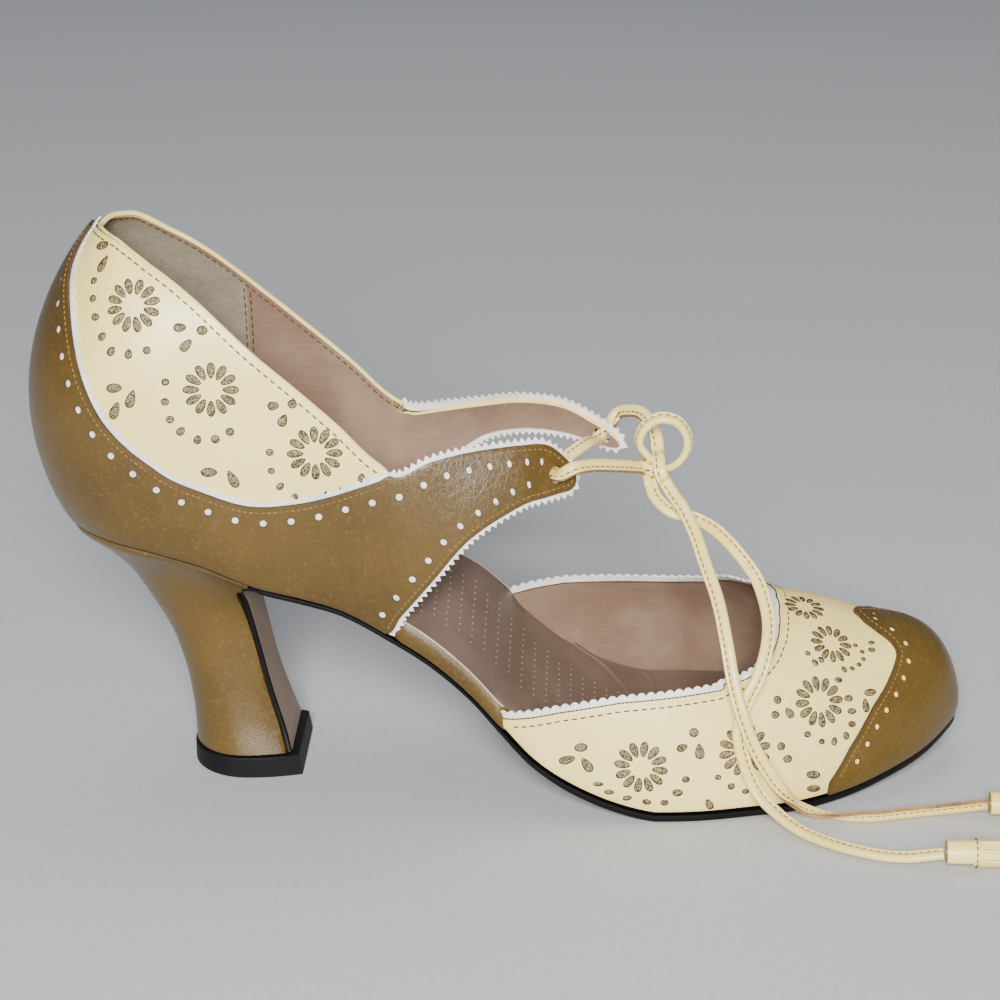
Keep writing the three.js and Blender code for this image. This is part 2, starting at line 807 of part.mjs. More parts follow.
// Pinked trims: strips just past an edge of the surface, given as a path of (place, t) pairs.
function edgeStrip(surface, path, outer, sign, flip) {
  const at = path.map(([u, t]) => surface(u, t));
  const rings = path.map(([u, t], i) => {
    const before = at[Math.max(i - 1, 0)];
    const after = at[Math.min(i + 1, at.length - 1)];
    const normal = surfaceNormal(surface, u, t, sign);
    const across = after.clone().sub(before).normalize().cross(normal).multiplyScalar(flip);
    const [start, end] = [clearance, clearance + trimWidth];
    const inner = outer + trimThickness;
    const corners = [[start, outer], [end, outer], [end, inner], [start, inner]];
    return corners.map(([out, deep]) => (
      at[i].clone().addScaledVector(across, out).addScaledVector(normal, -deep)));
  });
  return loft(rings);
}

function tabPath(side) {
  const tipShares = [0.8, 0.5, 0.2];
  const lowPlaces = steps(tabPlace, waistStation, 10).slice(0, -1);
  lowPlaces.push(waistStation + 0.15);
  return [
    ...sidePlaces.map((u) => [side * u, foxingTop(u)]),
    ...tipShares.map((t) => [side * tabPlace, t]),
    ...lowPlaces.map((u) => [side * u, 0]),
  ];
}

const trimDepth = quarterOuter - clearance - trimThickness;
add('trim_near', edgeStrip(quarterPoint, tabPath(-1), trimDepth, quarterSign, -1), 'white');
add('trim_far', edgeStrip(quarterPoint, tabPath(1), trimDepth, quarterSign, 1), 'white');
const toplinePath = vampPlaces.map((u) => [u, vampTop(u)]);
add('trim_vamp', edgeStrip(vampPoint, toplinePath, quarterOuter, 1, -1), 'white');

// Ties. Each route is a list of points in the shoe's own millimetres.
const laceSides = 8;
const routes = {
  loop: [
    [149.4, -3.2, 80.4], [147.3, -3.7, 83.6], [148.1, -4.5, 87.7], [152.0, -5.0, 90.7],
    [156.4, -5.0, 89.8], [158.9, -4.5, 86.0], [158.8, -4.0, 82.0], [157.0, -3.3, 78.9],
    [155.5, -2.8, 77.7],
  ],
  end_upper: [
    [153.6, -3.6, 74.2], [155.6, -6.0, 71.6], [157.6, -8.5, 69.6], [160.9, -13.0, 63.9],
    [162.8, -17.0, 59.1], [166.0, -23.5, 51.4], [167.9, -29.5, 43.7], [169.5, -34.0, 35.6],
    [171.6, -37.6, 28.3], [175.2, -39.6, 19.6], [180.9, -39.2, 10.2], [186.4, -36.4, 3.7],
    [194.1, -37.1, 1.9], [203.1, -37.2, 1.8], [209.9, -35.5, 1.8], [220.9, -33.2, 2.0],
    [230.8, -33.4, 3.4],
  ],
  end_lower: [
    [150.2, -2.4, 73.0], [151.2, -2.2, 70.0], [154.8, -2.7, 66.4], [161.9, -4.0, 64.4],
    [166.7, -7.0, 62.3], [175.0, -14.0, 54.3], [177.3, -18.5, 49.7], [178.2, -23.0, 45.2],
    [177.6, -27.4, 40.6], [175.4, -31.0, 34.4], [172.9, -33.0, 29.9], [171.2, -34.6, 23.8],
    [171.6, -36.2, 19.0], [175.6, -38.6, 8.8], [180.2, -41.4, 4.6], [186.0, -46.2, 2.2],
    [196.5, -53.9, 1.8], [207.7, -58.2, 2.0], [217.6, -58.9, 3.3],
  ],
};
const knotCentre = new THREE.Vector3(152, -1.2, 77.1);

function curveOf(points) {
  const list = points.map((p) => (Array.isArray(p) ? new THREE.Vector3(...p) : p));
  return new THREE.CatmullRomCurve3(list, false, 'centripetal');
}

function tube(points, pace) {
  const curve = curveOf(points);
  const outline = new THREE.Shape();
  for (let i = 0; i < laceSides; i += 1) {
    const angle = i * 2 * Math.PI / laceSides;
    const [x, y] = [Math.cos(angle) * laceThickness / 2, Math.sin(angle) * laceThickness / 2];
    if (i === 0) outline.moveTo(x, y);
    else outline.lineTo(x, y);
  }
  const count = Math.round(curve.getLength() / (pace * laceThickness));
  return new THREE.ExtrudeGeometry(outline, { steps: count, extrudePath: curve });
}

// The bar runs from the knot through both tabs and back to the knot.
const nearHole = holeFrame(holes.near);
const farHole = holeFrame(holes.far);
const stand = laceThickness / 2 + clearance;
const inHole = -1.5;
const pastHole = -4.8;
const through = (hole, depth) => hole.centre.clone().addScaledVector(hole.normal, depth);
const barRoute = [
  [148.0, -2.2, 77.2], [142.8, -8.5, 79.8], [136.2, -15.0, 82.2], [131.6, -19.0, 82.8],
  through(nearHole, stand + clearance), through(nearHole, inHole), through(nearHole, pastHole),
  [134.6, 0, 82.4],
  through(farHole, pastHole), through(farHole, inHole), through(farHole, stand + clearance),
  [145.4, 17.6, 86.2], [148.6, 12.8, 85.8], [150.4, 8, 84.2], [151.8, 3.9, 81.6], [152, 1.9, 79.9],
];
add('lace_bar', tube(barRoute, 1.1), 'lace');
add('lace_loop', tube(routes.loop, 1), 'lace');
add('lace_end_upper', tube(routes.end_upper, 2.6), 'lace');
add('lace_end_lower', tube(routes.end_lower, 2.6), 'lace');
const knot = new THREE.SphereGeometry(knotSize / 2, 10, 7);
knot.translate(knotCentre.x, knotCentre.y, knotCentre.z);
add('lace_knot', knot, 'lace');

// Tassels: a rolled cap with strips fused under it, lying along X. The cap's profile is in shares
// of its radius and length; the strips spread sideways and up by shares of the radius.
const capProfile = [[0, 0], [0.86, 0], [1, 0.12], [1, 1], [0.8, 1], [0, 1]];
const capShare = 0.3;
const capSides = 12;
const fringe = table(['along', 'wide', 'high'], [[0.24, 0, 0], [0.6, 0.26, 0.09], [1, 0.63, 0.03]]);
const strips = 8;
const stripThickness = 0.8;
const stripWidth = 1.9;

function tassel(start) {
  const radius = tasselCap / 2;
  const ringRadius = radius - 1;
  const capLength = capShare * tasselLength;
  const profile = capProfile.map(([r, h]) => new THREE.Vector2(r * radius, h * capLength));
  const cap = new THREE.LatheGeometry(profile, capSides);
  cap.rotateZ(-halfTurn);
  let solid = toManifold(cap);
  for (let i = 0; i < strips; i += 1) {
    const angle = (i + 0.5) * 2 * Math.PI / strips;
    const [sin, cos] = [Math.sin(angle), Math.cos(angle)];
    const rings = fringe.map((row) => [[-1, -1], [1, -1], [1, 1], [-1, 1]].map(([a, b]) => {
      const out = ringRadius + a * stripThickness / 2;
      const across = b * stripWidth / 2;
      return new THREE.Vector3(
        row.along * tasselLength,
        cos * (out + row.wide * radius) - sin * across,
        sin * (out + row.high * radius) + cos * across,
      );
    }));
    solid = solid.add(toManifold(loft(rings)));
  }
  const geometry = fromManifold(solid);
  geometry.translate(...start);
  return geometry;
}
const tasselLift = tasselCap / 2 + clearance / 2;
add('tassel_upper', tassel([231.4, -33.5, tasselLift]), 'lace');
add('tassel_lower', tassel([218.2, -59, tasselLift]), 'lace');

// The origin lies under the middle of the shoe, without the loose ties.
const tieNodes = [
  'lace_knot', 'lace_loop', 'lace_end_upper', 'lace_end_lower', 'tassel_upper', 'tassel_lower',
];
const extent = new THREE.Box3();
for (const mesh of shoe.children) {
  if (!tieNodes.includes(mesh.name)) extent.expandByObject(mesh);
}
const middle = extent.getCenter(new THREE.Vector3());
shoe.position.set(-middle.x, -middle.y, -extent.min.z);

export default shoe;
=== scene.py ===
import math

import bpy
import numpy as np
from mathutils import Matrix, kdtree
from mathutils.geometry import delaunay_2d_cdt


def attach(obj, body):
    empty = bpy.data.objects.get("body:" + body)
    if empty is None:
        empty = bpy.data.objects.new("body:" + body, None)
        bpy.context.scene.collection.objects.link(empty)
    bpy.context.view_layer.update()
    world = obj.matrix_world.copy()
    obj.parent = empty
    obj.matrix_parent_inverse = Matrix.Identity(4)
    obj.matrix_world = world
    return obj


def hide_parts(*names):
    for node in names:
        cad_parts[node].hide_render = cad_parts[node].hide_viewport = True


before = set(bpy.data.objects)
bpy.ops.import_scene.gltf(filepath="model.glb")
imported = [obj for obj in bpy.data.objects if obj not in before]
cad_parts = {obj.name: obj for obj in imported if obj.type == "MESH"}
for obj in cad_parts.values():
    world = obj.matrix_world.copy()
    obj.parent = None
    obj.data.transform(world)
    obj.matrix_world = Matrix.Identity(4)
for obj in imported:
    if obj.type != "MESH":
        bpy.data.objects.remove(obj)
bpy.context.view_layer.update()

# The model is laid out in the millimetres of part.mjs. SHIFT moves its origin to the frame's.
MM = 0.001
SHIFT = np.array([-114.6227, -0.4492, 0.0])
FLOOR_SIZE = 6.0

# Camera: the point it turns about, the angles of the photograph, its distance and its lens.
CAMERA_AIM = np.array([113.79, 0.0, 67.77])
CAMERA_AZIMUTH = 0.032964
CAMERA_HEIGHT = 0.354635
CAMERA_ROLL = -0.0053728
CAMERA_DISTANCE = 700.0
CAMERA_LENS = 103.72


def in_frame(points):
    return (np.asarray(points, float) + SHIFT) * MM


def make_camera():
    level = math.cos(CAMERA_HEIGHT)
    back = np.array([
        math.sin(CAMERA_AZIMUTH) * level,
        -math.cos(CAMERA_AZIMUTH) * level,
        math.sin(CAMERA_HEIGHT),
    ])
    right = np.cross(-back, [0, 0, 1])
    right /= np.linalg.norm(right)
    up = np.cross(right, -back)
    cos, sin = math.cos(CAMERA_ROLL), math.sin(CAMERA_ROLL)
    place = Matrix.Identity(4)
    for column, axis in enumerate([cos * right + sin * up, cos * up - sin * right, back]):
        for row in range(3):
            place[row][column] = axis[row]
    place.translation = in_frame(CAMERA_AIM + back * CAMERA_DISTANCE)
    data = bpy.data.cameras.new("camera")
    data.lens = CAMERA_LENS
    data.sensor_width = 36
    data.clip_end = 20
    camera = bpy.data.objects.new("camera", data)
    camera.matrix_world = place
    bpy.context.scene.collection.objects.link(camera)
    bpy.context.scene.camera = camera
    return back


TO_CAMERA = make_camera()


# Shader nodes
class Wire:
    """An output of a shader node. Arithmetic on wires adds the nodes for it."""

    tree = None

    def __init__(self, out):
        self.out = out

    @classmethod
    def add(cls, kind, settings=None, inputs=None, out=0):
        node = cls.tree.nodes.new(kind)
        for key, value in (settings or {}).items():
            setattr(node, key, value)
        for key, value in (inputs or {}).items():
            if isinstance(value, Wire):
                cls.tree.links.new(value.out, node.inputs[key])
            else:
                node.inputs[key].default_value = value
        return cls(node.outputs[out])

    def maths(self, operation, *others):
        inputs = dict(enumerate([self, *others]))
        return Wire.add("ShaderNodeMath", {"operation": operation}, inputs)

    def __add__(self, other):
        return self.maths("ADD", other)

    def __mul__(self, other):
        return self.maths("MULTIPLY", other)

    def __sub__(self, other):
        return self.maths("SUBTRACT", other)

    def __rsub__(self, other):
        return Wire.add("ShaderNodeMath", {"operation": "SUBTRACT"}, {0: other, 1: self})

    def __truediv__(self, other):
        return self.maths("DIVIDE", other)

    def __rtruediv__(self, other):
        return Wire.add("ShaderNodeMath", {"operation": "DIVIDE"}, {0: other, 1: self})

    __radd__ = __add__
    __rmul__ = __mul__

    def ramp(self, low, high, start=0.0, end=1.0):
        settings = {"interpolation_type": "SMOOTHSTEP"}
        inputs = {"Value": self, "From Min": low, "From Max": high, "To Min": start, "To Max": end}
        return Wire.add("ShaderNodeMapRange", settings, inputs)

    def blend(self, first, second):
        inputs = {0: self, 6: first, 7: second}
        return Wire.add("ShaderNodeMix", {"data_type": "RGBA"}, inputs, 2)


def colour(red, green, blue):
    """Linear colour from the usual 0 to 255 scale."""
    shares = [value / 255 for value in (red, green, blue)]
    return [((s + 0.055) / 1.055) ** 2.4 if s > 0.04 else s / 12.92 for s in shares] + [1.0]


def place_mm(stretch=(1, 1, 1), attribute=None):
    """Coordinates in millimetres: the object's own, or the flat layout kept with a panel."""
    if attribute:
        source = Wire.add("ShaderNodeAttribute", {"attribute_name": attribute}, {}, 1)
        scale = stretch
    else:
        source = Wire.add("ShaderNodeTexCoord", {}, {}, 3)
        scale = [1000 * value for value in stretch]
    return Wire.add("ShaderNodeMapping", {}, {"Vector": source, "Scale": scale})


def noise(where, scale, detail=3.0, rough=0.55):
    inputs = {"Vector": where, "Scale": scale, "Detail": detail, "Roughness": rough}
    return Wire.add("ShaderNodeTexNoise", {}, inputs)


def cells(where, scale, feature="F1", out=0):
    return Wire.add("ShaderNodeTexVoronoi", {"feature": feature}, {"Vector": where, "Scale": scale}, out)


def kept(name):
    """A number kept with each corner of a panel's mesh."""
    return Wire.add("ShaderNodeAttribute", {"attribute_name": name}, {}, 2)


def axes(where):
    """The three numbers of a place."""
    first = Wire.add("ShaderNodeSeparateXYZ", {}, {0: where})
    return [Wire(out) for out in first.out.node.outputs]


def material(name, finish):
    made = bpy.data.materials.new(name)
    made.use_nodes = True
    made.node_tree.nodes.clear()
    Wire.tree = made.node_tree
    links = finish()
    bump = links.pop("bump", None)
    if bump is not None:
        height, strength, distance = bump
        inputs = {"Height": height, "Strength": strength, "Distance": distance}
        links["Normal"] = Wire.add("ShaderNodeBump", {}, inputs)
    shader = Wire.add("ShaderNodeBsdfPrincipled", {}, links)
    out = made.node_tree.nodes.new("ShaderNodeOutputMaterial")
    made.node_tree.links.new(shader.out, out.inputs["Surface"])
    return made


# Builders of meshes
def piece(name, points, faces, materials, slot, nodes=(), looks=None, smooth=40, kept_values=None):
    """One object made of points in the model's millimetres."""
    mesh = bpy.data.meshes.new(name)
    mesh.from_pydata(in_frame(points).tolist(), [], [tuple(int(i) for i in face) for face in faces])
    for item in materials:
        mesh.materials.append(item)
    if looks is not None:
        mesh.polygons.foreach_set("material_index", np.asarray(looks, dtype=np.int32))
    mesh.shade_smooth()
    mesh.set_sharp_from_angle(angle=math.radians(smooth))
    for key, values in (kept_values or {}).items():
        values = np.asarray(values, float)
        if values.ndim == 1:
            mesh.attributes.new(key, "FLOAT", "POINT").data.foreach_set("value", values)
        else:
            target = mesh.attributes.new(key, "FLOAT_VECTOR", "POINT").data
            target.foreach_set("vector", values.ravel())
    mesh.update()
    obj = bpy.data.objects.new(name, mesh)
    bpy.context.scene.collection.objects.link(obj)
    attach(obj, "root")
    if nodes:
        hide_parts(*nodes)
    return obj


def unit(vectors):
    return vectors / np.maximum(np.linalg.norm(vectors, axis=-1, keepdims=True), 1e-12)


def loft(rings, closed=True, caps=True):
    """Faces between rings of equal length, with a fan over each end."""
    count, size = len(rings), len(rings[0])
    faces = []
    for i in range(count - 1):
        for j in range(size if closed else size - 1):
            a, b = i * size + j, i * size + (j + 1) % size
            faces.append((a, b, b + size, a + size))
    if caps:
        faces.append(tuple(range(size))[::-1])
        faces.append(tuple(range((count - 1) * size, count * size)))
    return np.concatenate(rings), faces


def join(parts):
    """Joins lists of points and faces into one."""
    points, faces, start = [], [], 0
    for some, own in parts:
        points.append(some)
        faces += [tuple(i + start for i in face) for face in own]
        start += len(some)
    return np.concatenate(points), faces


def marks_along(line, pitch, paired=False):
    """How far along a line its points are, and even marks about pitch apart."""
    steps = np.linalg.norm(np.diff(line, axis=0), axis=1)
    at = np.concatenate([[0], np.cumsum(steps)])
    count = max(2, int(round(at[-1] / pitch)))
    if paired:
        count += count % 2
    return at, np.linspace(0, at[-1], count + 1)


def read_at(marks, at, rows):
    """Rows of numbers that are known at some marks, read at others."""
    return np.column_stack([np.interp(marks, at, column) for column in rows.T])


def even(line, pitch):
    """The same line with points about pitch apart."""
    at, marks = marks_along(line, pitch)
    return read_at(marks, at, line)


def length_of(line):
    return marks_along(line, 1.0)[0][-1]


CURVE_STEPS = 24


def smooth_line(points, pitch):
    """Evenly spaced points on the curve through points, by the centripetal rule of part.mjs."""
    points = np.asarray(points, float)
    ends = [2 * points[0] - points[1], 2 * points[-1] - points[-2]]
    full = np.vstack([ends[0], points, ends[1]])
    t = np.linspace(0, 1, CURVE_STEPS, endpoint=False)[:, None]
    found = []
    for a, b, c, d in zip(full, full[1:], full[2:], full[3:]):
        ab, bc, cd = [max(np.linalg.norm(q - p), 1e-4) ** 0.5 for p, q in ((a, b), (b, c), (c, d))]
        one = ((b - a) / ab - (c - a) / (ab + bc) + (c - b) / bc) * bc
        two = ((c - b) / bc - (d - b) / (bc + cd) + (d - c) / cd) * bc
        cube = 2 * b - 2 * c + one + two
        square = 3 * c - 3 * b - 2 * one - two
        found.append(cube * t ** 3 + square * t ** 2 + one * t + b)
    return even(np.vstack([*found, points[-1:]]), pitch)


def directions(line):
    return unit(np.gradient(line, axis=0))


def eased(value, low, high):
    """0 below low and 1 above high, with a smooth change between them."""
    share = np.clip((value - low) / (high - low), 0, 1)
    return share * share * (3 - 2 * share)


def round_rings(line, sides, rises, width, height, count):
    """Oval rings round the points of a line."""
    turn = np.linspace(0, 2 * math.pi, count, endpoint=False)
    return [p + width * np.outer(np.cos(turn), side) + height * np.outer(np.sin(turn), rise)
            for p, side, rise in zip(line, sides, rises)]


# Laces: a leather strip folded along one edge and stitched near the other. Each row of its section
# is a place across it and a height, in millimetres. RAW_EDGE numbers the rows of the cut edge.
LACE_SECTION = np.array([
    [-1.58, 0.0], [-1.52, 0.42], [-1.28, 0.72], [-0.84, 0.86], [-0.26, 0.84], [0.31, 0.7], [0.63, 0.42],
    [0.92, 0.62], [1.28, 0.66], [1.55, 0.55], [1.57, 0.12], [1.32, 0.0], [1.57, -0.12], [1.55, -0.55],
    [1.28, -0.66], [0.92, -0.62], [0.63, -0.42], [0.31, -0.7], [-0.26, -0.84], [-0.84, -0.86],
    [-1.28, -0.72], [-1.52, -0.42],
])
RAW_EDGE = range(9, 13)
SEAM_ACROSS = 0.63
SEAM_DEPTH = 0.46

# A stitch: how far its rings lie from the middle and how thick they are, as shares.
STITCH_RINGS = [(-1.0, 0.35), (-0.8, 0.85), (0.0, 1.0), (0.8, 0.85), (1.0, 0.35)]
STITCH_SIDES = 6
STITCH_BEND = 0.5

# Seams: the pitch of their stitches, a stitch's length and its radius, in millimetres.
LACE_SEAM = (1.7, 1.25, 0.19)
FOXING_SEAM = (1.4, 1.0, 0.2)
UPPER_SEAM = (2.1, 1.45, 0.19)
COLLAR_SEAM = (2.1, 1.4, 0.18)
COUNTER_SEAM = (2.2, 1.5, 0.17)
# The vamp's dark edge line, drawn as close stitches: the cut edge, with painted shade under the trim.
VAMP_EDGE_AND_SHADE_LINE = (1.0, 1.1, 0.22)
TOE_CAP_SEAM = (1.35, 0.95, 0.18)


def strip_frames(line, faces):
    way = directions(line)
    facing = unit(faces - (faces * way).sum(axis=1, keepdims=True) * way)
    return way, facing, np.cross(way, facing)


def twisted(line, facing, start, stop, turn):
    """The facings turned about the line by an angle that grows between two shares of its length."""
    angle = eased(np.linspace(0, 1, len(line)), start, stop)[:, None] * turn
    _, facing, across = strip_frames(line, facing)
    return facing * np.cos(angle) + across * np.sin(angle)


def lace_mesh(line, facing, flip):
    """The folded strip along a line. flip says on which side its seam lies."""
    _, facing, across = strip_frames(line, facing)
    rings = [p + np.outer(LACE_SECTION[:, 0] * flip, a) + np.outer(LACE_SECTION[:, 1], f)
             for p, a, f in zip(line, across, facing)]
    points, faces = loft(rings)
    size = len(LACE_SECTION)
    looks = [int(k % size in RAW_EDGE) for k in range(len(faces) - 2)] + [0, 0]
    return points, faces, looks


def stitches(centres, ways, ups, length, radius):
    """Small rounded stitches, one for each centre, whose ends bend down into the leather."""
    turn = np.arange(STITCH_SIDES) * 2 * math.pi / STITCH_SIDES
    made = []
    for centre, way, up, across in zip(centres, ways, ups, np.cross(ways, ups)):
        circle = radius * (np.outer(np.cos(turn), across) + np.outer(np.sin(turn), up))
        made.append(loft([
            centre + way * share * length / 2 - up * STITCH_BEND * radius * share ** 2 + circle * size
            for share, size in STITCH_RINGS]))
    return join(made)


ROUTES = {
    "loop": [
        [149.4, -3.2, 80.4], [147.3, -3.7, 83.6], [148.1, -4.5, 87.7], [152.0, -5.0, 90.7],
        [156.4, -5.0, 89.8], [158.9, -4.5, 86.0], [158.8, -4.0, 82.0], [157.0, -3.3, 78.9],
        [155.5, -2.8, 77.7],
    ],
    "end_upper": [
        [153.6, -3.6, 74.2], [155.6, -6.0, 71.6], [157.6, -8.5, 69.6], [160.9, -13.0, 63.9],
        [162.8, -17.0, 59.1], [166.0, -23.5, 51.4], [167.9, -29.5, 43.7], [169.5, -34.0, 35.6],
        [171.6, -37.6, 28.3], [175.2, -39.6, 19.6], [180.9, -39.2, 10.2], [186.4, -36.4, 3.7],
        [194.1, -37.1, 1.9], [203.1, -37.2, 1.8], [209.9, -35.5, 1.8], [220.9, -33.2, 2.0],
        [230.8, -33.4, 3.4],
    ],
    "end_lower": [
        [150.2, -2.4, 73.0], [151.2, -2.2, 70.0], [154.8, -2.7, 66.4], [161.9, -4.0, 64.4],
        [166.7, -7.0, 62.3], [175.0, -14.0, 54.3], [177.3, -18.5, 49.7], [178.2, -23.0, 45.2],
        [177.6, -27.4, 40.6], [175.4, -31.0, 34.4], [172.9, -33.0, 29.9], [171.2, -34.6, 23.8],
        [171.6, -36.2, 19.0], [175.6, -38.6, 8.8], [180.2, -41.4, 4.6], [186.0, -46.2, 2.2],
        [196.5, -53.9, 1.8], [207.7, -58.2, 2.0], [217.6, -58.9, 3.3],
    ],
}
TASSELS = {"upper": [231.4, -33.5, 3.65], "lower": [218.2, -59.0, 3.65]}
TASSEL_SEEDS = {"upper": 3, "lower": 8}
FLAT_BELOW = 3.0
UPRIGHT_ABOVE = 14.0
LYING_FACE = np.array([0.0, -0.25, 1.0])


def lace_faces(line):
    """The flat side looks to the front where the lace hangs, and up where it lies on the floor."""
    share = eased(line[:, 2], FLAT_BELOW, UPRIGHT_ABOVE)[:, None]
    return unit(share * TO_CAMERA + (1 - share) * LYING_FACE)


def seam_stitches(line, facing, flip):
    """The row of stitches near the cut edge, on both flat sides."""
    pitch, length, radius = LACE_SEAM
    spots = even(line, pitch)[1:-1]
    marks, at = [np.linspace(0, 1, len(rows)) for rows in (spots, facing)]
    way, up, across = strip_frames(spots, read_at(marks, at, facing))
    parts = []
    for sign in (1, -1):
        centres = spots + across * SEAM_ACROSS * flip + up * sign * SEAM_DEPTH
        parts.append(stitches(centres, way, up * sign, length, radius))
    return join(parts)


def lace(name, line, facing, node, flip):
    points, faces, looks = lace_mesh(line, facing, flip)
    body = piece(name, points, faces, [LACE, RAW], "lace_leather", [node], looks)
    thread = piece(name + "_stitches", *seam_stitches(line, facing, flip), [THREAD], "lace_leather")
    return body, thread


TASSEL_LENGTH = 30.0
ROLL_LENGTH = 8.0
ROLL_RADIUS = 3.4
ROLL_CORE = 0.7
ROLL_TURNS = 3.1
ROLL_WALL = 0.55
ROLL_SEAM_FROM_END = 1.2
ROLL_STITCH = (1.0, 0.16)
ROLL_END = math.radians(198)
STRIPS = 16
STRIP_FROM_MIDDLE = (1.6, 2.6)
STRIP_HALF_THICK = 0.35
STRIP_HALF_WIDE = 0.75
FRINGE_SPREAD = 2.1
FRINGE_LIFT = 0.1
FRINGE_LOWEST = -3.0


def tassel_roll(start):
    """A strip rolled up tight, with the cut edges at both its ends."""
    angles = np.linspace(0, ROLL_TURNS * 2 * math.pi, 110)
    radius = ROLL_CORE + (ROLL_RADIUS - ROLL_CORE) * angles / angles[-1]
    angles = angles - angles[-1] + ROLL_END
    sheets = []
    for x, swell in zip(np.linspace(0, ROLL_LENGTH, 9), np.sin(np.linspace(0, math.pi, 9)) ** 0.4):
        size = radius * (0.93 + 0.07 * swell)
        outer, inner = [np.column_stack([np.full(len(angles), x), r * np.cos(angles), r * np.sin(angles)])
                        for r in (size, size - ROLL_WALL)]
        sheets.append(np.vstack([outer, inner[::-1]]) + start)
    count = len(sheets[0])
    points, faces = loft(sheets, caps=False)
    rolled = len(faces)
    for end in (0, len(sheets) - 1):
        for j in range(len(angles) - 1):
            a = end * count + j
            b = end * count + count - 1 - j
            faces.append((a, a + 1, b - 1, b) if end else (b, b - 1, a + 1, a))
    return (points, faces), [0] * rolled + [1] * (len(faces) - rolled)


def fringe_strip(start, k, rng):
    """One strip of the fringe, from inside the roll to its own end."""
    angle = (k + 0.5) * 2 * math.pi / STRIPS + rng.uniform(-0.1, 0.1)
    from_middle = STRIP_FROM_MIDDLE[k % 2]
    wave = rng.uniform(-0.5, 0.5, 3)
    length = TASSEL_LENGTH - rng.uniform(0, 1.6)
    out = np.array([0, math.cos(angle), math.sin(angle)])
    flat = np.array([0, -math.sin(angle), math.cos(angle)])
    rings = []
    for x in np.linspace(0.75 * ROLL_LENGTH, length, 12):
        share = max(0.0, (x - ROLL_LENGTH) / (TASSEL_LENGTH - ROLL_LENGTH))
        side = out[1] * (from_middle + FRINGE_SPREAD * share) + wave[0] * math.sin(4 * share)
        rise = out[2] * (from_middle + FRINGE_LIFT * share) + wave[1] * math.sin(5 * share) * 0.4
        middle = start + np.array([x, side, max(rise, FRINGE_LOWEST)])
        rings.append(np.array([middle + a * out * STRIP_HALF_THICK + b * flat * STRIP_HALF_WIDE
                               for a, b in ((-1, -1), (1, -1), (1, 1), (-1, 1))]))
    return loft(rings)


def tassel(name, start, node, seed):
    """A rolled strip with its cut fringe beyond it, and a seam round the roll."""
    start = np.array(start)
    rng = np.random.default_rng(seed)
    roll, looks = tassel_roll(start)
    strips = [fringe_strip(start, k, rng) for k in range(STRIPS)]
    for _, faces in strips:
        looks += [int(j % 4 == 3) for j in range(len(faces) - 2)] + [1, 1]
    made = piece(name, *join([roll, *strips]), [LACE, RAW], "lace_leather", [node], looks)
    turn = np.linspace(0, 2 * math.pi, 40, endpoint=False)[::3]
    up = np.column_stack([0 * turn, np.cos(turn), np.sin(turn)])
    way = np.column_stack([0 * turn, -np.sin(turn), np.cos(turn)])
    spots = start + np.array([ROLL_LENGTH - ROLL_SEAM_FROM_END, 0, 0]) + up * (ROLL_RADIUS - 0.05)
    piece(name + "_stitches", *stitches(spots, way, up, *ROLL_STITCH), [THREAD], "lace_leather")
    return made


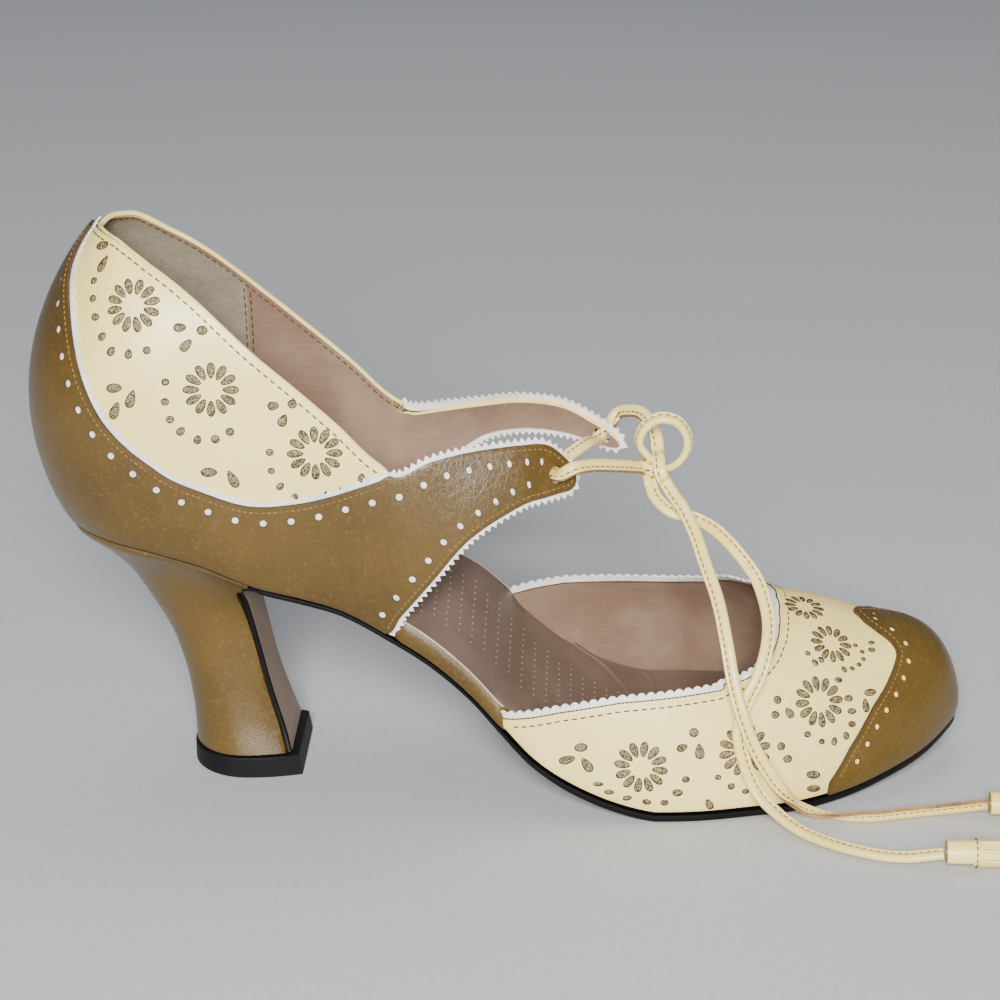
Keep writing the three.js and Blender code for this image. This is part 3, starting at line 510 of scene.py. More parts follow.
# Panels: pieces of leather cut on a surface
class Chart:
    """A surface of (place, share) laid out flat in millimetres, so that pieces can be cut on it.

    sign turns its normals outwards, and towards_toe says whether a growing place on the far side
    runs to the toe. Places from low to high are measured along the share middle."""

    def __init__(self, surface, sign, low, high, middle, height, towards_toe):
        self.surface = surface
        self.sign = sign
        self.height = height
        self.towards_toe = towards_toe
        self.places = np.linspace(low, high, 2401)
        line = surface(self.places, middle)
        steps = np.linalg.norm(np.diff(line, axis=0), axis=1)
        self.across = np.concatenate([[0], np.cumsum(steps)])

    def flat(self, spots):
        spots = np.asarray(spots, float)
        return np.column_stack([np.interp(spots[:, 0], self.places, self.across),
                                spots[:, 1] * self.height])

    def spots(self, flat):
        return np.column_stack([np.interp(flat[:, 0], self.across, self.places),
                                flat[:, 1] / self.height])

    def slopes(self, spots):
        u, t = spots[:, 0], np.clip(spots[:, 1], 0.02, 0.98)
        step = 0.004
        du = (self.surface(u + step, t) - self.surface(u - step, t)) / (2 * step)
        dt = (self.surface(u, t + step) - self.surface(u, t - step)) / (2 * step)
        return du, dt

    def normals(self, spots):
        du, dt = self.slopes(spots)
        return unit(np.cross(du, dt)) * self.sign

    def points(self, spots, depth=0.0):
        spots = np.asarray(spots, float)
        depth = np.broadcast_to(depth, len(spots))[:, None]
        return self.surface(spots[:, 0], spots[:, 1]) - self.normals(spots) * depth

    def reach(self, spots, targets):
        """The spots under given points, found from nearby ones."""
        spots = np.array(spots, float)
        for _ in range(4):
            du, dt = self.slopes(spots)
            miss = targets - self.surface(spots[:, 0], spots[:, 1])
            a, b, c = (du * du).sum(1), (du * dt).sum(1), (dt * dt).sum(1)
            p, q = (du * miss).sum(1), (dt * miss).sum(1)
            det = np.maximum(a * c - b * b, 1e-9)
            spots[:, 0] += np.clip((c * p - b * q) / det, -0.5, 0.5)
            spots[:, 1] += np.clip((a * q - b * p) / det, -0.2, 0.2)
        return spots

    def around(self, spot, offsets):
        """Spots at offsets in millimetres from one spot: towards the toe, and up."""
        spot = np.array([spot], float)
        du, dt = self.slopes(spot)
        toe = unit(du) * self.towards_toe * np.sign(spot[0, 0] or 1)
        up = dt - (dt * toe).sum(1, keepdims=True) * toe
        up = unit(up)
        offsets = np.asarray(offsets, float)
        targets = self.surface(spot[:, 0], spot[:, 1]) + offsets[:, :1] * toe + offsets[:, 1:] * up
        start = np.repeat(spot, len(offsets), axis=0)
        return self.reach(start, targets)

    def along(self, path, pitch, paired=False):
        """The same path with evenly spaced spots."""
        path = np.asarray(path, float)
        shares = np.linspace(0, 1, 9)[1:, None]
        fine = np.vstack([path[:1], *[a + (b - a) * shares for a, b in zip(path, path[1:])]])
        at, marks = marks_along(self.surface(fine[:, 0], fine[:, 1]), pitch, paired)
        return read_at(marks, at, fine)

    def edge_frames(self, path):
        """Points of a path with the ways along it, out of the surface and to its left."""
        points = self.surface(path[:, 0], path[:, 1])
        way = directions(points)
        up = self.normals(path)
        return points, way, up, np.cross(up, way)

    def rounded(self, path, span):
        """The path with its corners rounded over a span in millimetres."""
        fine = self.along(path, 0.4)
        count = max(1, int(span / 0.8)) * 2 + 1
        share = np.ones(count) / count
        padded = np.pad(fine, ((count // 2, count // 2), (0, 0)), "edge")
        return np.column_stack([np.convolve(padded[:, k], share, "valid") for k in (0, 1)])

    def beside(self, path, distance):
        """The path moved to its left, as seen from outside, by a distance in millimetres."""
        points, _, _, left = self.edge_frames(path)
        return self.reach(path, points + left * distance)


def ring_of(count, length, width, pointed=0.0):
    """A drop: an ellipse that narrows to a point at its far end."""
    turn = np.linspace(0, 2 * math.pi, count, endpoint=False)
    x = np.cos(turn)
    y = np.sin(turn) * (1 - pointed * (0.5 + 0.5 * x))
    return np.column_stack([x * length / 2, y / y.max() * width / 2])


def turned(outline, degrees, centre=(0, 0)):
    cos, sin = math.cos(math.radians(degrees)), math.sin(math.radians(degrees))
    x, y = outline[:, 0], outline[:, 1]
    return np.column_stack([x * cos - y * sin + centre[0], x * sin + y * cos + centre[1]])


# Petals of a flower: how many, the distances from its centre between which they lie, and how wide.
PETALS = 12
PETAL_FROM = 2.6
PETAL_TO = 6.5
PETAL_WIDTH = 1.95


def flower(chart, spot, turn=0.0, size=1.0):
    """Twelve petals punched round a centre, their points inwards."""
    length = (PETAL_TO - PETAL_FROM) * size
    petal = ring_of(16, length, PETAL_WIDTH * size, 0.35)
    petal[:, 0] *= -1
    petal[:, 0] += (PETAL_FROM + PETAL_TO) / 2 * size
    return [chart.around(spot, turned(petal, turn + k * 360 / PETALS)) for k in range(PETALS)]


DROP_POINTING = 0.8


def drops(chart, rows, side):
    """Drops from rows of place, share, angle, length, width and how pointed they are."""
    found = []
    for place, share, angle, length, width, pointed in rows:
        outline = turned(ring_of(16, length, width, pointed * DROP_POINTING), angle)
        found.append(chart.around((side * place, share), outline))
    return found


def anticlockwise(ring):
    x, y = ring[:, 0], ring[:, 1]
    area = (x * np.roll(y, -1) - y * np.roll(x, -1)).sum()
    return ring if area > 0 else ring[::-1]


def tree_of(points):
    tree = kdtree.KDTree(len(points))
    for i, point in enumerate(points):
        tree.insert(point, i)
    tree.balance()
    return tree


def distances(points, line):
    """How far each point is from the nearest point of a line."""
    tree = tree_of(line)
    return np.array([tree.find(p)[2] for p in points])


CLEAR_OF_EDGE = 0.45


def cut(chart, outline, holes, grid):
    """The spots and faces of a sheet cut along outline, with holes in it."""
    flat = [anticlockwise(chart.flat(ring)) for ring in [outline, *holes]]
    corners = np.concatenate(flat)
    tree = tree_of([(x, y, 0) for x, y in corners])
    low, high = flat[0].min(axis=0), flat[0].max(axis=0)
    xs = np.arange(low[0] + grid / 2, high[0], grid)
    ys = np.arange(low[1] + grid / 2, high[1], grid)
    inner = [(x + (grid / 2 if row % 2 else 0), y) for row, y in enumerate(ys) for x in xs]
    inner = [(x, y) for x, y in inner if tree.find((x, y, 0))[2] > CLEAR_OF_EDGE * grid]
    vertices = [tuple(p) for p in corners] + inner
    loops, start = [], 0
    for ring in flat:
        loops.append(list(range(start, start + len(ring))))
        start += len(ring)
    found = delaunay_2d_cdt(vertices, [], loops, 0, 1e-5)
    spots = chart.spots(np.array([tuple(v) for v in found[0]]))
    faces = [face for face, origin in zip(found[2], found[5]) if 0 in origin and len(origin) == 1]
    used = sorted({i for face in faces for i in face})
    index = {old: new for new, old in enumerate(used)}
    return spots[used], [[index[i] for i in face] for face in faces]


def panel(name, chart, outline, holes, depths, materials, slot, nodes=(), grid=1.6, both=False,
          inward=False):
    """A piece of leather between two depths, with its outer face, its inner face or both."""
    spots, keep = cut(chart, outline, holes, grid)
    layout = chart.flat(spots)
    ground = chart.surface(spots[:, 0], spots[:, 1])
    from_edge = distances(ground, chart.surface(outline[:, 0], outline[:, 1]))
    front, back = [chart.points(spots, depth) for depth in depths]
    first = keep[0]
    normal = np.cross(front[first[1]] - front[first[0]], front[first[2]] - front[first[0]])
    if normal @ chart.normals(spots[first[:1]])[0] < 0:
        keep = [face[::-1] for face in keep]
    count = len(spots)
    faces, looks = [], []
    if not inward:
        faces += [tuple(face) for face in keep]
        looks += [0] * len(keep)
    if both or inward:
        faces += [tuple(i + count for i in face[::-1]) for face in keep]
        looks += [2 if both else 0] * len(keep)
    steps = dict.fromkeys((a, b) for face in keep for a, b in zip(face, face[1:] + face[:1]))
    for a, b in steps:
        if (b, a) not in steps:
            faces.append((b, a, a + count, b + count))
            looks.append(1)
    layout = np.column_stack([layout, np.zeros(count)])
    values = {"from_edge": np.tile(from_edge, 2), "layout": np.tile(layout, (2, 1))}
    return piece(name, np.vstack([front, back]), faces, materials, slot, nodes, looks, smooth=50,
                 kept_values=values)


def stitch(name, chart, path, seam, depth, material, slot, flip=1):
    """A row of stitches along a path. flip is -1 on the inner face."""
    pitch, length, radius = seam
    points, way, up, _ = chart.edge_frames(chart.along(path, pitch)[1:-1])
    parts = stitches(points - up * depth, way, up * flip, length, radius)
    return piece(name, *parts, [material], slot)


# Pinking: how far the strip reaches, the depth and pitch of its teeth, whether they are round, and
# how far it goes under the leather beside it.
SHARP_TEETH = (1.9, 1.15, 1.8, False, 1.0)
ROUND_TEETH = (2.0, 0.8, 2.3, True, 0.6)


def pinked(name, chart, path, teeth, depths, side, nodes):
    """A strip along a path with teeth cut along its free edge, to the left of the path, or right."""
    reach, tooth, pitch, round_teeth, inset = teeth
    per_tooth = 6 if round_teeth else 2
    points, _, up, left = chart.edge_frames(chart.along(path, pitch / per_tooth, True))
    out = left * side
    marks = np.arange(len(points))
    if round_teeth:
        shape = np.abs(np.sin(marks * math.pi / per_tooth)) ** 0.8
    else:
        shape = (marks % 2).astype(float)
    foot = reach - tooth
    rings = []
    for k in marks:
        widths = (-inset, foot * 0.7, foot + tooth * shape[k])
        ring = [points[k] + out[k] * width - up[k] * depths[0] for width in widths]
        ring += [points[k] + out[k] * width - up[k] * depths[1] for width in widths[::-1]]
        rings.append(np.array(ring))
    points, faces = loft(rings)
    return piece(name, points, faces, [TRIM_WHITE], "white_trim", nodes, smooth=30)


DISC_CORNERS = 12


def discs(name, chart, spots, radius, depth, material, slot):
    """The lining that shows in the small round holes."""
    corners = tuple(range(DISC_CORNERS))
    parts = []
    for spot in spots:
        ring = chart.around(spot, ring_of(DISC_CORNERS, 2 * radius, 2 * radius))
        parts.append((chart.points(ring, depth), [corners if spot[0] < 0 else corners[::-1]]))
    return piece(name, *join(parts), [material], slot)


def rims(name, chart, holes, width, depth, material, slot):
    """The dark cut edges just inside punched holes; their dark is partly painted shade."""
    parts = []
    for hole in holes:
        count = len(hole)
        outer = chart.points(hole, depth)
        middle = outer.mean(axis=0)
        reach = np.linalg.norm(middle - outer, axis=1, keepdims=True)
        inner = outer + (middle - outer) * np.minimum(width / reach, 0.7)
        parts.append((np.vstack([outer, inner]), [
            (j, (j + 1) % count, count + (j + 1) % count, count + j) for j in range(count)]))
    points, faces = join(parts)
    a, b, c = [points[faces[0][k]] for k in range(3)]
    if np.cross(b - a, c - a) @ chart.normals(holes[0][:1])[0] < 0:
        faces = [face[::-1] for face in faces]
    return piece(name, points, faces, [material], slot)


# The shoe surfaces of part.mjs, from the same tables
LENGTH = 228.0
HALF_BALL = 38.0
SEAT = 63.0
COLLAR = 138.0
SPRING = 9.0
ARCH = 7.0
INSTEP = 44.5
SOLE = 2.1
TIP = 5.3
GAP = 0.3
BOARD = 4.4


class Rows:
    """A table with named columns, read between its rows on a smooth curve."""

    def __init__(self, names, values):
        self.names = names.split()
        self.values = np.array(values, float)

    def column(self, name):
        return self.values[:, self.names.index(name)]

    def smooth(self, place, before, after):
        rows = np.vstack([before, self.values, after])
        place = np.clip(np.asarray(place, float), 0, len(self.values) - 1)
        i = np.minimum(place.astype(int), len(self.values) - 2)
        t = (place - i)[..., None]
        a, b, c, d = rows[i], rows[i + 1], rows[i + 2], rows[i + 3]
        square = 2 * a - 5 * b + 4 * c - d
        cube = 3 * b - a - 3 * c + d
        found = 0.5 * (2 * b + (c - a) * t + square * t ** 2 + cube * t ** 3)
        return {name: found[..., k] for k, name in enumerate(self.names)}

    def linear(self, key, name, value):
        return np.interp(value, self.column(key), self.column(name))

    def row(self, k):
        return dict(zip(self.names, self.values[k]))


# The last from the heel to the toe. along is a share of LENGTH, widths are shares of HALF_BALL,
# rise of SEAT and collar of COLLAR; edge is a share of the sole's thickness.
LAST = Rows("along near far rise spring arch edge collar inset bulge foxing", [
    [0.042, 0, 0, 1.004, 0, 0, 0.67, 1.0, 0.245, 0.342, 1.06],
    [0.051, 0.253, 0.253, 1.004, 0, 0, 0.67, 1.004, 0.243, 0.332, 0.89],
    [0.0725, 0.447, 0.447, 1.005, 0, 0, 0.67, 1.001, 0.232, 0.31, 0.75],
    [0.105, 0.587, 0.587, 0.994, 0, 0, 0.67, 0.991, 0.21, 0.276, 0.475],
    [0.149, 0.642, 0.642, 0.964, 0, 0, 0.67, 0.959, 0.168, 0.224, 0.335],
    [0.193, 0.647, 0.647, 0.916, 0, 0, 0.67, 0.907, 0.084, 0.158, 0.312],
    [0.2456, 0.647, 0.647, 0.836, 0, 0, 0.67, 0.828, -0.005, 0.108, 0.36],
    [0.294, 0.637, 0.632, 0.789, 0, 0.07, 0.67, 0.759, -0.042, 0.084, 0.47],
    [0.338, 0.626, 0.61, 0.735, 0, 0.21, 0.67, 0.694, -0.076, 0.068, 0.645],
    [0.3816, 0.632, 0.6, 0.646, 0, 0.46, 0.67, 0.625, -0.095, 0.058, 0.92],
    [0.4276, 0.684, 0.626, 0.549, 0, 0.79, 0.67, 0.6, -0.06, 0.05, 1.12],
    [0.469, 0.763, 0.684, 0.436, 0, 1, 0.67, 0, 0, 0, 1],
    [0.502, 0.842, 0.753, 0.317, 0, 0.97, 0.8, 0, 0, 0, 1],
    [0.535, 0.916, 0.842, 0.202, 0, 0.71, 0.9, 0, 0, 0, 1],
    [0.5746, 0.958, 0.926, 0.108, 0, 0.31, 1, 0, 0, 0, 1],
    [0.623, 0.984, 0.99, 0.034, 0, 0.06, 1, 0, 0, 0, 1],
    [0.671, 1.0, 1.016, 0, -0.02, 0, 1, 0, 0, 0, 1],
    [0.715, 0.979, 1.021, 0, 0.0, 0, 1, 0, 0, 0, 1],
    [0.763, 0.921, 0.984, 0, 0.02, 0, 1, 0, 0, 0, 1],
    [0.816, 0.837, 0.905, 0, 0.04, 0, 1, 0, 0, 0, 1],
    [0.868, 0.698, 0.81, 0, 0.17, 0, 1, 0, 0, 0, 1],
    [0.912, 0.532, 0.735, 0, 0.39, 0, 1, 0, 0, 0, 1],
    [0.952, 0.325, 0.61, 0, 0.62, 0, 1, 0, 0, 0, 1],
    [0.9807, 0.105, 0.46, 0, 0.88, 0, 1, 0, 0, 0, 1],
    [0.9956, -0.08, 0.3, 0, 1.02, 0, 1, 0, 0, 0, 1],
])
LAST_ROW = len(LAST.values) - 1
TOE = LAST_ROW + 0.5
WAIST = 9

# The tie tabs of each side, from the waist to the tip. Heights are shares of COLLAR.
TAB_COLUMNS = "along low lowOut top topOut bulge"
TABS = {
    -1: Rows(TAB_COLUMNS, [
        [0.4, 0.348, 0.695, 0.608, 0.722, 0.05],
        [0.432, 0.415, 0.737, 0.63, 0.676, 0.04],
        [0.472, 0.493, 0.724, 0.64, 0.592, 0.03],
        [0.523, 0.542, 0.618, 0.643, 0.497, 0.02],
        [0.55, 0.55, 0.53, 0.636, 0.415, 0.012],
        [0.568, 0.553, 0.46, 0.61, 0.37, 0.006],
        [0.581, 0.553, 0.4, 0.581, 0.35, 0],
        [0.586, 0.56, 0.375, 0.572, 0.362, 0],
    ]),
    1: Rows(TAB_COLUMNS, [
        [0.4, 0.39, 0.69, 0.604, 0.718, 0.05],
        [0.432, 0.472, 0.73, 0.612, 0.68, 0.04],
        [0.474, 0.54, 0.712, 0.628, 0.61, 0.03],
        [0.52, 0.57, 0.61, 0.641, 0.535, 0.02],
        [0.568, 0.576, 0.48, 0.637, 0.445, 0.012],
        [0.605, 0.567, 0.385, 0.611, 0.36, 0.006],
        [0.63, 0.558, 0.33, 0.583, 0.32, 0],
        [0.638, 0.56, 0.322, 0.57, 0.318, 0],
    ]),
}
TAB_TIP = WAIST + 7

# The vamp's top edge: its height at the sides as a share of INSTEP, and round the throat its
# distance from FAN as a share of HALF_BALL, by the turn about FAN in degrees.
VAMP_TOPLINE = Rows("along near far", [
    [0.49, 0.527, 0.7], [0.53, 0.567, 0.75], [0.566, 0.607, 0.782],
    [0.627, 0.656, 0.8], [0.689, 0.681, 0.818], [0.737, 0.7, 0.85],
])
THROAT = Rows("turn reach", [
    [-90, 0.795], [-80, 0.753], [-68, 0.692], [-61, 0.647], [-53, 0.584], [-43, 0.508],
    [-29, 0.429], [-4, 0.366], [25, 0.38], [50, 0.447], [65, 0.508], [78, 0.56], [90, 0.645],
])
# The toe cap's edge by the same turn: 0 at the sole and 1 on the crest.
WING_TIP = Rows("turn rise", [
    [-52.5, 0.03], [-49, 0.085], [-41.5, 0.187], [-34, 0.262], [-28.6, 0.31],
    [-21.8, 0.355], [-17, 0.388], [-12.6, 0.418], [-10, 0.44], [-8.2, 0.48], [-6.8, 0.535],
    [-4.4, 0.611], [0, 0.66], [2.5, 0.67], [5, 0.66], [9.4, 0.611], [11.8, 0.535], [13.2, 0.46],
    [15, 0.401], [17.6, 0.369], [22, 0.337], [26.6, 0.306], [33.4, 0.267], [38.5, 0.229],
    [45.6, 0.172], [52.6, 0.075], [55.5, 0.03],
])
# The height of the vamp's crest as a share of INSTEP.
CREST = Rows("along height", [
    [0.49, 1.53], [0.566, 1.416], [0.627, 1.303], [0.689, 1.191], [0.737, 1.106],
    [0.772, 1.034], [0.803, 1],
    [0.842, 0.994], [0.88, 0.987], [0.895, 0.992], [0.91, 1.002], [0.925, 1.032],
    [0.94, 1.076], [0.955, 1.13], [0.97, 1.19], [0.985, 1.25], [1.01, 1.33],
])
FAN = np.array([0.737 * LENGTH, 0.04 * HALF_BALL])
HEEL_AXIS = 0.149 * LENGTH
ROUND = 2.3
CROWN = 1.8
VAMP_OUTSET = 1.3
TUCK_DEPTH = 0.6
TUCK_HEIGHT = 5.0
BULGE_POWER = 0.75


def side_rows(side):
    own = "near" if side < 0 else "far"
    other = "far" if side < 0 else "near"
    lift = LAST.column("arch") * (side > 0)
    lift_back = LAST.column("arch") * (side < 0)
    rows = np.column_stack([LAST.values, side * LAST.column(own), lift])
    mirror = np.column_stack([LAST.values, -side * LAST.column(other), lift_back])
    names = " ".join(LAST.names) + " out lift"
    return Rows(names, np.vstack([rows, mirror[LAST_ROW]])), mirror[1], mirror[LAST_ROW - 1]


SIDES = {-1: side_rows(-1), 1: side_rows(1)}


def station_on(place, side):
    rows, before, after = SIDES[side]
    row = rows.smooth(place, before, after)
    under = np.maximum(0, row["rise"] * SEAT + row["spring"] * SPRING)
    row["thick"] = row["edge"] * SOLE
    row["x"] = row["along"] * LENGTH
    row["y"] = row["out"] * HALF_BALL
    row["z"] = under + row["thick"] + np.maximum(0, row["lift"]) * ARCH
    return row


def by_side(side, near, far):
    return {name: np.where(side < 0, near[name], far[name]) for name in near}


def station(place, side):
    return by_side(side, station_on(place, -1), station_on(place, 1))


def station_at(x):
    places = np.linspace(0, TOE, 4001)
    return np.interp(x, station_on(places, -1)["x"], places)


def body_row(place, side):
    foot = station(place, side)
    axis = np.maximum(foot["x"], HEEL_AXIS)
    out = np.hypot(foot["x"] - axis, foot["y"])
    return {
        "axis": axis,
        "turn": np.arctan2(np.abs(foot["y"]), axis - foot["x"]),
        "low": foot["z"] + GAP,
        "lowOut": out,
        "top": foot["collar"] * COLLAR,
        "topOut": out - foot["inset"] * HALF_BALL,
        "bulge": foot["bulge"] * HALF_BALL,
    }


QUARTER_COLUMNS = "axis turn low lowOut top topOut bulge"


def tab_rows(side):
    tab = TABS[side]
    rows = np.column_stack([
        tab.column("along") * LENGTH,
        np.full(len(tab.values), math.pi / 2),
        tab.column("low") * COLLAR,
        tab.column("lowOut") * HALF_BALL,
        tab.column("top") * COLLAR,
        tab.column("topOut") * HALF_BALL,
        tab.column("bulge") * HALF_BALL,
    ])
    ends = [body_row(np.array([WAIST + k]), np.array([side])) for k in (-1, 0)]
    first, joint = [[end[name][0] for name in QUARTER_COLUMNS.split()] for end in ends]
    return Rows(QUARTER_COLUMNS, np.vstack([joint, rows])), first, rows[-1]


TAB_ROWS = {-1: tab_rows(-1), 1: tab_rows(1)}


def quarter_point(place, t):
    place, t = np.broadcast_arrays(np.asarray(place, float), np.asarray(t, float))
    side = np.where(place < 0, -1, 1)
    along = np.abs(place)
    body = body_row(np.minimum(along, WAIST), side)
    tab = {}
    for key, (rows, before, after) in TAB_ROWS.items():
        tab[key] = rows.smooth(along - WAIST, before, after)
    tab = by_side(side, tab[-1], tab[1])
    row = {name: np.where(along <= WAIST, body[name], tab[name]) for name in body}
    swell = np.sin(math.pi * np.clip(t, 0, 1)) ** BULGE_POWER
    out = row["lowOut"] + (row["topOut"] - row["lowOut"]) * t + row["bulge"] * swell
    x = row["axis"] - out * np.cos(row["turn"])
    y = side * out * np.sin(row["turn"])
    return np.stack([x, y, row["low"] + (row["top"] - row["low"]) * t], axis=-1)


def foxing_top(place):
    along = np.abs(place)
    rows = Rows(" ".join(LAST.names), LAST.values[:WAIST + 2])
    found = rows.smooth(along, LAST.values[1], LAST.values[LAST_ROW])["foxing"]
    return np.where(along >= WAIST + 0.4, 1.0, np.minimum(1, found))


VAMP_REAR = float(station_at(0.499 * LENGTH))


def vamp_rib(place):
    side = np.where(place < 0, -1, 1)
    foot = station(VAMP_REAR + (TOE - VAMP_REAR) * (1 - np.abs(place)), side)
    inner = np.minimum(foot["x"], FAN[0])
    middle = FAN[1] * np.clip(inner / FAN[0] * 3 - 2, 0, 1)
    dx, dy = foot["x"] - inner, foot["y"] - middle
    reach = np.hypot(dx, dy)
    return foot, inner, middle, dx / reach, dy / reach, reach + VAMP_OUTSET


def vamp_point(place, rise):
    place, rise = np.broadcast_arrays(np.asarray(place, float), np.asarray(rise, float))
    foot, inner, middle, dx, dy, reach = vamp_rib(place)
    angle = np.clip(rise, 0, 1) * math.pi / 2
    lift = np.sin(angle) ** (2 / CROWN)
    base = foot["z"] + GAP
    tuck = TUCK_DEPTH * np.maximum(0, 1 - lift * INSTEP / TUCK_HEIGHT) ** 2
    out = reach * np.cos(angle) ** (2 / ROUND) - tuck
    x = inner + dx * out
    crest = CREST.linear("along", "height", x / LENGTH) * INSTEP
    return np.stack([x, middle + dy * out, base + (crest - base) * lift], axis=-1)


def turn_of(place):
    foot = vamp_rib(np.asarray(place, float))[0]
    forward = np.maximum(foot["x"] - FAN[0], 0)
    return np.degrees(np.arctan2(foot["y"] - FAN[1], forward))


def place_of_turn(turn):
    places = np.linspace(-1, 1, 4001)
    turns = np.maximum.accumulate(turn_of(places))
    return np.interp(turn, turns + np.linspace(0, 1e-6, 4001), places)


def vamp_top(place):
    """The rise of the vamp's top edge: by its height at the sides, by its reach round the throat."""
    place = np.asarray(place, float)
    foot, *_, reach = vamp_rib(place)
    side_near = VAMP_TOPLINE.linear("along", "near", foot["x"] / LENGTH)
    side_far = VAMP_TOPLINE.linear("along", "far", foot["x"] / LENGTH)
    height = np.where(place < 0, side_near, side_far) * INSTEP
    low, high = np.zeros_like(place), np.ones_like(place)
    for _ in range(24):
        mid = (low + high) / 2
        under = vamp_point(place, mid)[..., 2] < height
        low, high = np.where(under, mid, low), np.where(under, high, mid)
    ratio = np.minimum(1, THROAT.linear("turn", "reach", turn_of(place)) * HALF_BALL / reach)
    throat = np.arccos(ratio ** (ROUND / 2)) / (math.pi / 2)
    return np.where(foot["x"] <= FAN[0], low, throat)


def cap_edge(place):
    return WING_TIP.linear("turn", "rise", turn_of(place))


# Materials
TAN = colour(94, 73, 28)
TAN_DEEP = colour(78, 58, 22)
TAN_PALE = colour(112, 90, 42)
CREAM = colour(253, 232, 150)
CREAM_DEEP = colour(246, 221, 133)
CREAM_PALE = colour(254, 239, 176)
WHITE = colour(250, 249, 245)
WHITE_DEEP = colour(222, 221, 214)
BROWN_EDGE = colour(84, 62, 38)
LINING_PINK = colour(144, 120, 102)
LINING_DEEP = colour(130, 104, 88)
COUNTER = colour(142, 132, 114)
COUNTER_DEEP = colour(124, 114, 98)
SOCK = colour(120, 100, 88)
SOCK_DEEP = colour(106, 87, 76)
SOLE_TAUPE = colour(150, 128, 112)
SOLE_DEEP = colour(132, 112, 98)
BLACK = colour(9, 9, 10)
UNDERLAY = colour(66, 52, 28)
UNDERLAY_PALE = colour(222, 204, 152)
THREAD_BROWN = colour(86, 70, 42)
THREAD_TAN = colour(150, 118, 66)


def leather(base, deep, pale, rough, grain=0.14, crease=0.0, edge=0.0):
    """Smooth leather: fine pores, slow changes of tone, creases darkened by painted shade, and a darker
    band at the cut edge, partly its own tone and partly painted shade.
    """
    def finish():
        where = place_mm()
        slow = noise(where, 0.03, 3.0)
        fine = noise(where, 0.9, 3.0)
        pores = cells(where, 2.1).ramp(0.0, 0.5)
        tone = slow.ramp(0.3, 0.7).blend(deep, base)
        tone = (fine.ramp(0.5, 0.8) * 0.6).blend(tone, pale)
        height = pores * 0.5 + noise(where, 1.6, 4.0) * 0.6
        if crease:
            lines = noise(place_mm((0.9, 0.16, 1), "layout"), 1.0, 5.0, 0.62)
            folds_and_shade = lines.ramp(0.4, 0.56) * kept("creased")
            height = height + folds_and_shade * (crease / grain)
            # Painted shade: the creases are darkened.
            tone = (folds_and_shade * 0.35).blend(tone, deep)
        if edge:
            # Darker towards the cut edge: partly the edge's own tone, partly painted shade where the edge
            # rounds down.
            near = kept("from_edge").ramp(0.0, edge, 1.0, 0.0)
            tone = (near * 0.75).blend(tone, deep)
            height = height - near * near * 1.5
        roughness = fine.ramp(0.3, 0.75, rough - 0.07, rough + 0.08)
        return {"Base Color": tone, "Roughness": roughness, "Specular IOR Level": 0.42,
                "Coat Weight": 0.2, "Coat Roughness": 0.22, "bump": (height, grain, 0.0004)}
    return finish


def plain(base, deep, rough, scale=0.8, strength=0.2, distance=0.0003, stretch=(1, 1, 1),
          shine=0.35):
    """A finish whose tone, gloss and height follow one fine grain."""
    def finish():
        where = place_mm(stretch)
        slow = noise(where, scale * 0.12, 3.0)
        fine = noise(where, scale, 5.0, 0.6)
        tone = (slow * 0.5 + fine * 0.5).ramp(0.36, 0.64).blend(deep, base)
        roughness = fine.ramp(0.3, 0.7, rough - 0.06, rough + 0.06)
        return {"Base Color": tone, "Roughness": roughness, "Specular IOR Level": shine,
                "bump": (fine, strength, distance)}
    return finish


def mottled():
    """The brown layer that shows in the punched holes, with fine pale lines."""
    where = place_mm()
    wandering = noise(where, 1.5, 3.0, 0.7)
    lines = (wandering - 0.5).maths("ABSOLUTE").ramp(0.0, 0.045, 1.0, 0.0)
    tone = (lines * 0.85).blend(UNDERLAY, UNDERLAY_PALE)
    return {"Base Color": tone, "Roughness": 0.7, "bump": (wandering, 0.3, 0.0002)}


# The soft folds of the lining, and the painted shade in them, start between these places and between these
# heights.
FOLDS_ALONG = (-26.0, -14.0)
FOLDS_ABOVE = (68.0, 76.0)


def lined():
    """Lining leather with fine wrinkles that run along the foot, and soft folds in the tabs with painted
    shade in them.
    """
    where = place_mm()
    slow = noise(where, 0.06, 4.0)
    lines = noise(place_mm((0.05, 0.3, 0.5)), 1.0, 5.0, 0.65)
    cracks = (lines - 0.5).maths("ABSOLUTE").ramp(0.0, 0.035, 1.0, 0.0)
    tone = slow.ramp(0.35, 0.65).blend(LINING_DEEP, LINING_PINK)
    tone = (cracks * 0.03).blend(tone, CREAM_PALE)
    x, y, z = axes(where)
    across, along = x * 0.8 - z * 0.6, x * 0.6 + z * 0.8
    slanted = Wire.add("ShaderNodeCombineXYZ", {}, {0: across * 0.55, 1: along * 0.06, 2: y * 0.1})
    folds_and_shade = noise(slanted, 1.0, 3.0) * x.ramp(*FOLDS_ALONG) * z.ramp(*FOLDS_ABOVE)
    height = noise(where, 1.2, 4.0) + lines * 0.8 + folds_and_shade * 7.0
    # Painted shade: the folds are darkened.
    tone = (folds_and_shade.ramp(0.35, 0.6) * 0.35).blend(tone, LINING_DEEP)
    return {"Base Color": tone, "Roughness": slow.ramp(0.3, 0.7, 0.5, 0.62),
            "Specular IOR Level": 0.3, "bump": (height, 0.16, 0.0004)}


SOCK_DOT_PITCH = 3.0
SOCK_DOT_SIZE = 0.24
DOTS_HALF_WIDTH = 15.0
DOTS_FROM = -22.0
DOTS_TO = 52.0


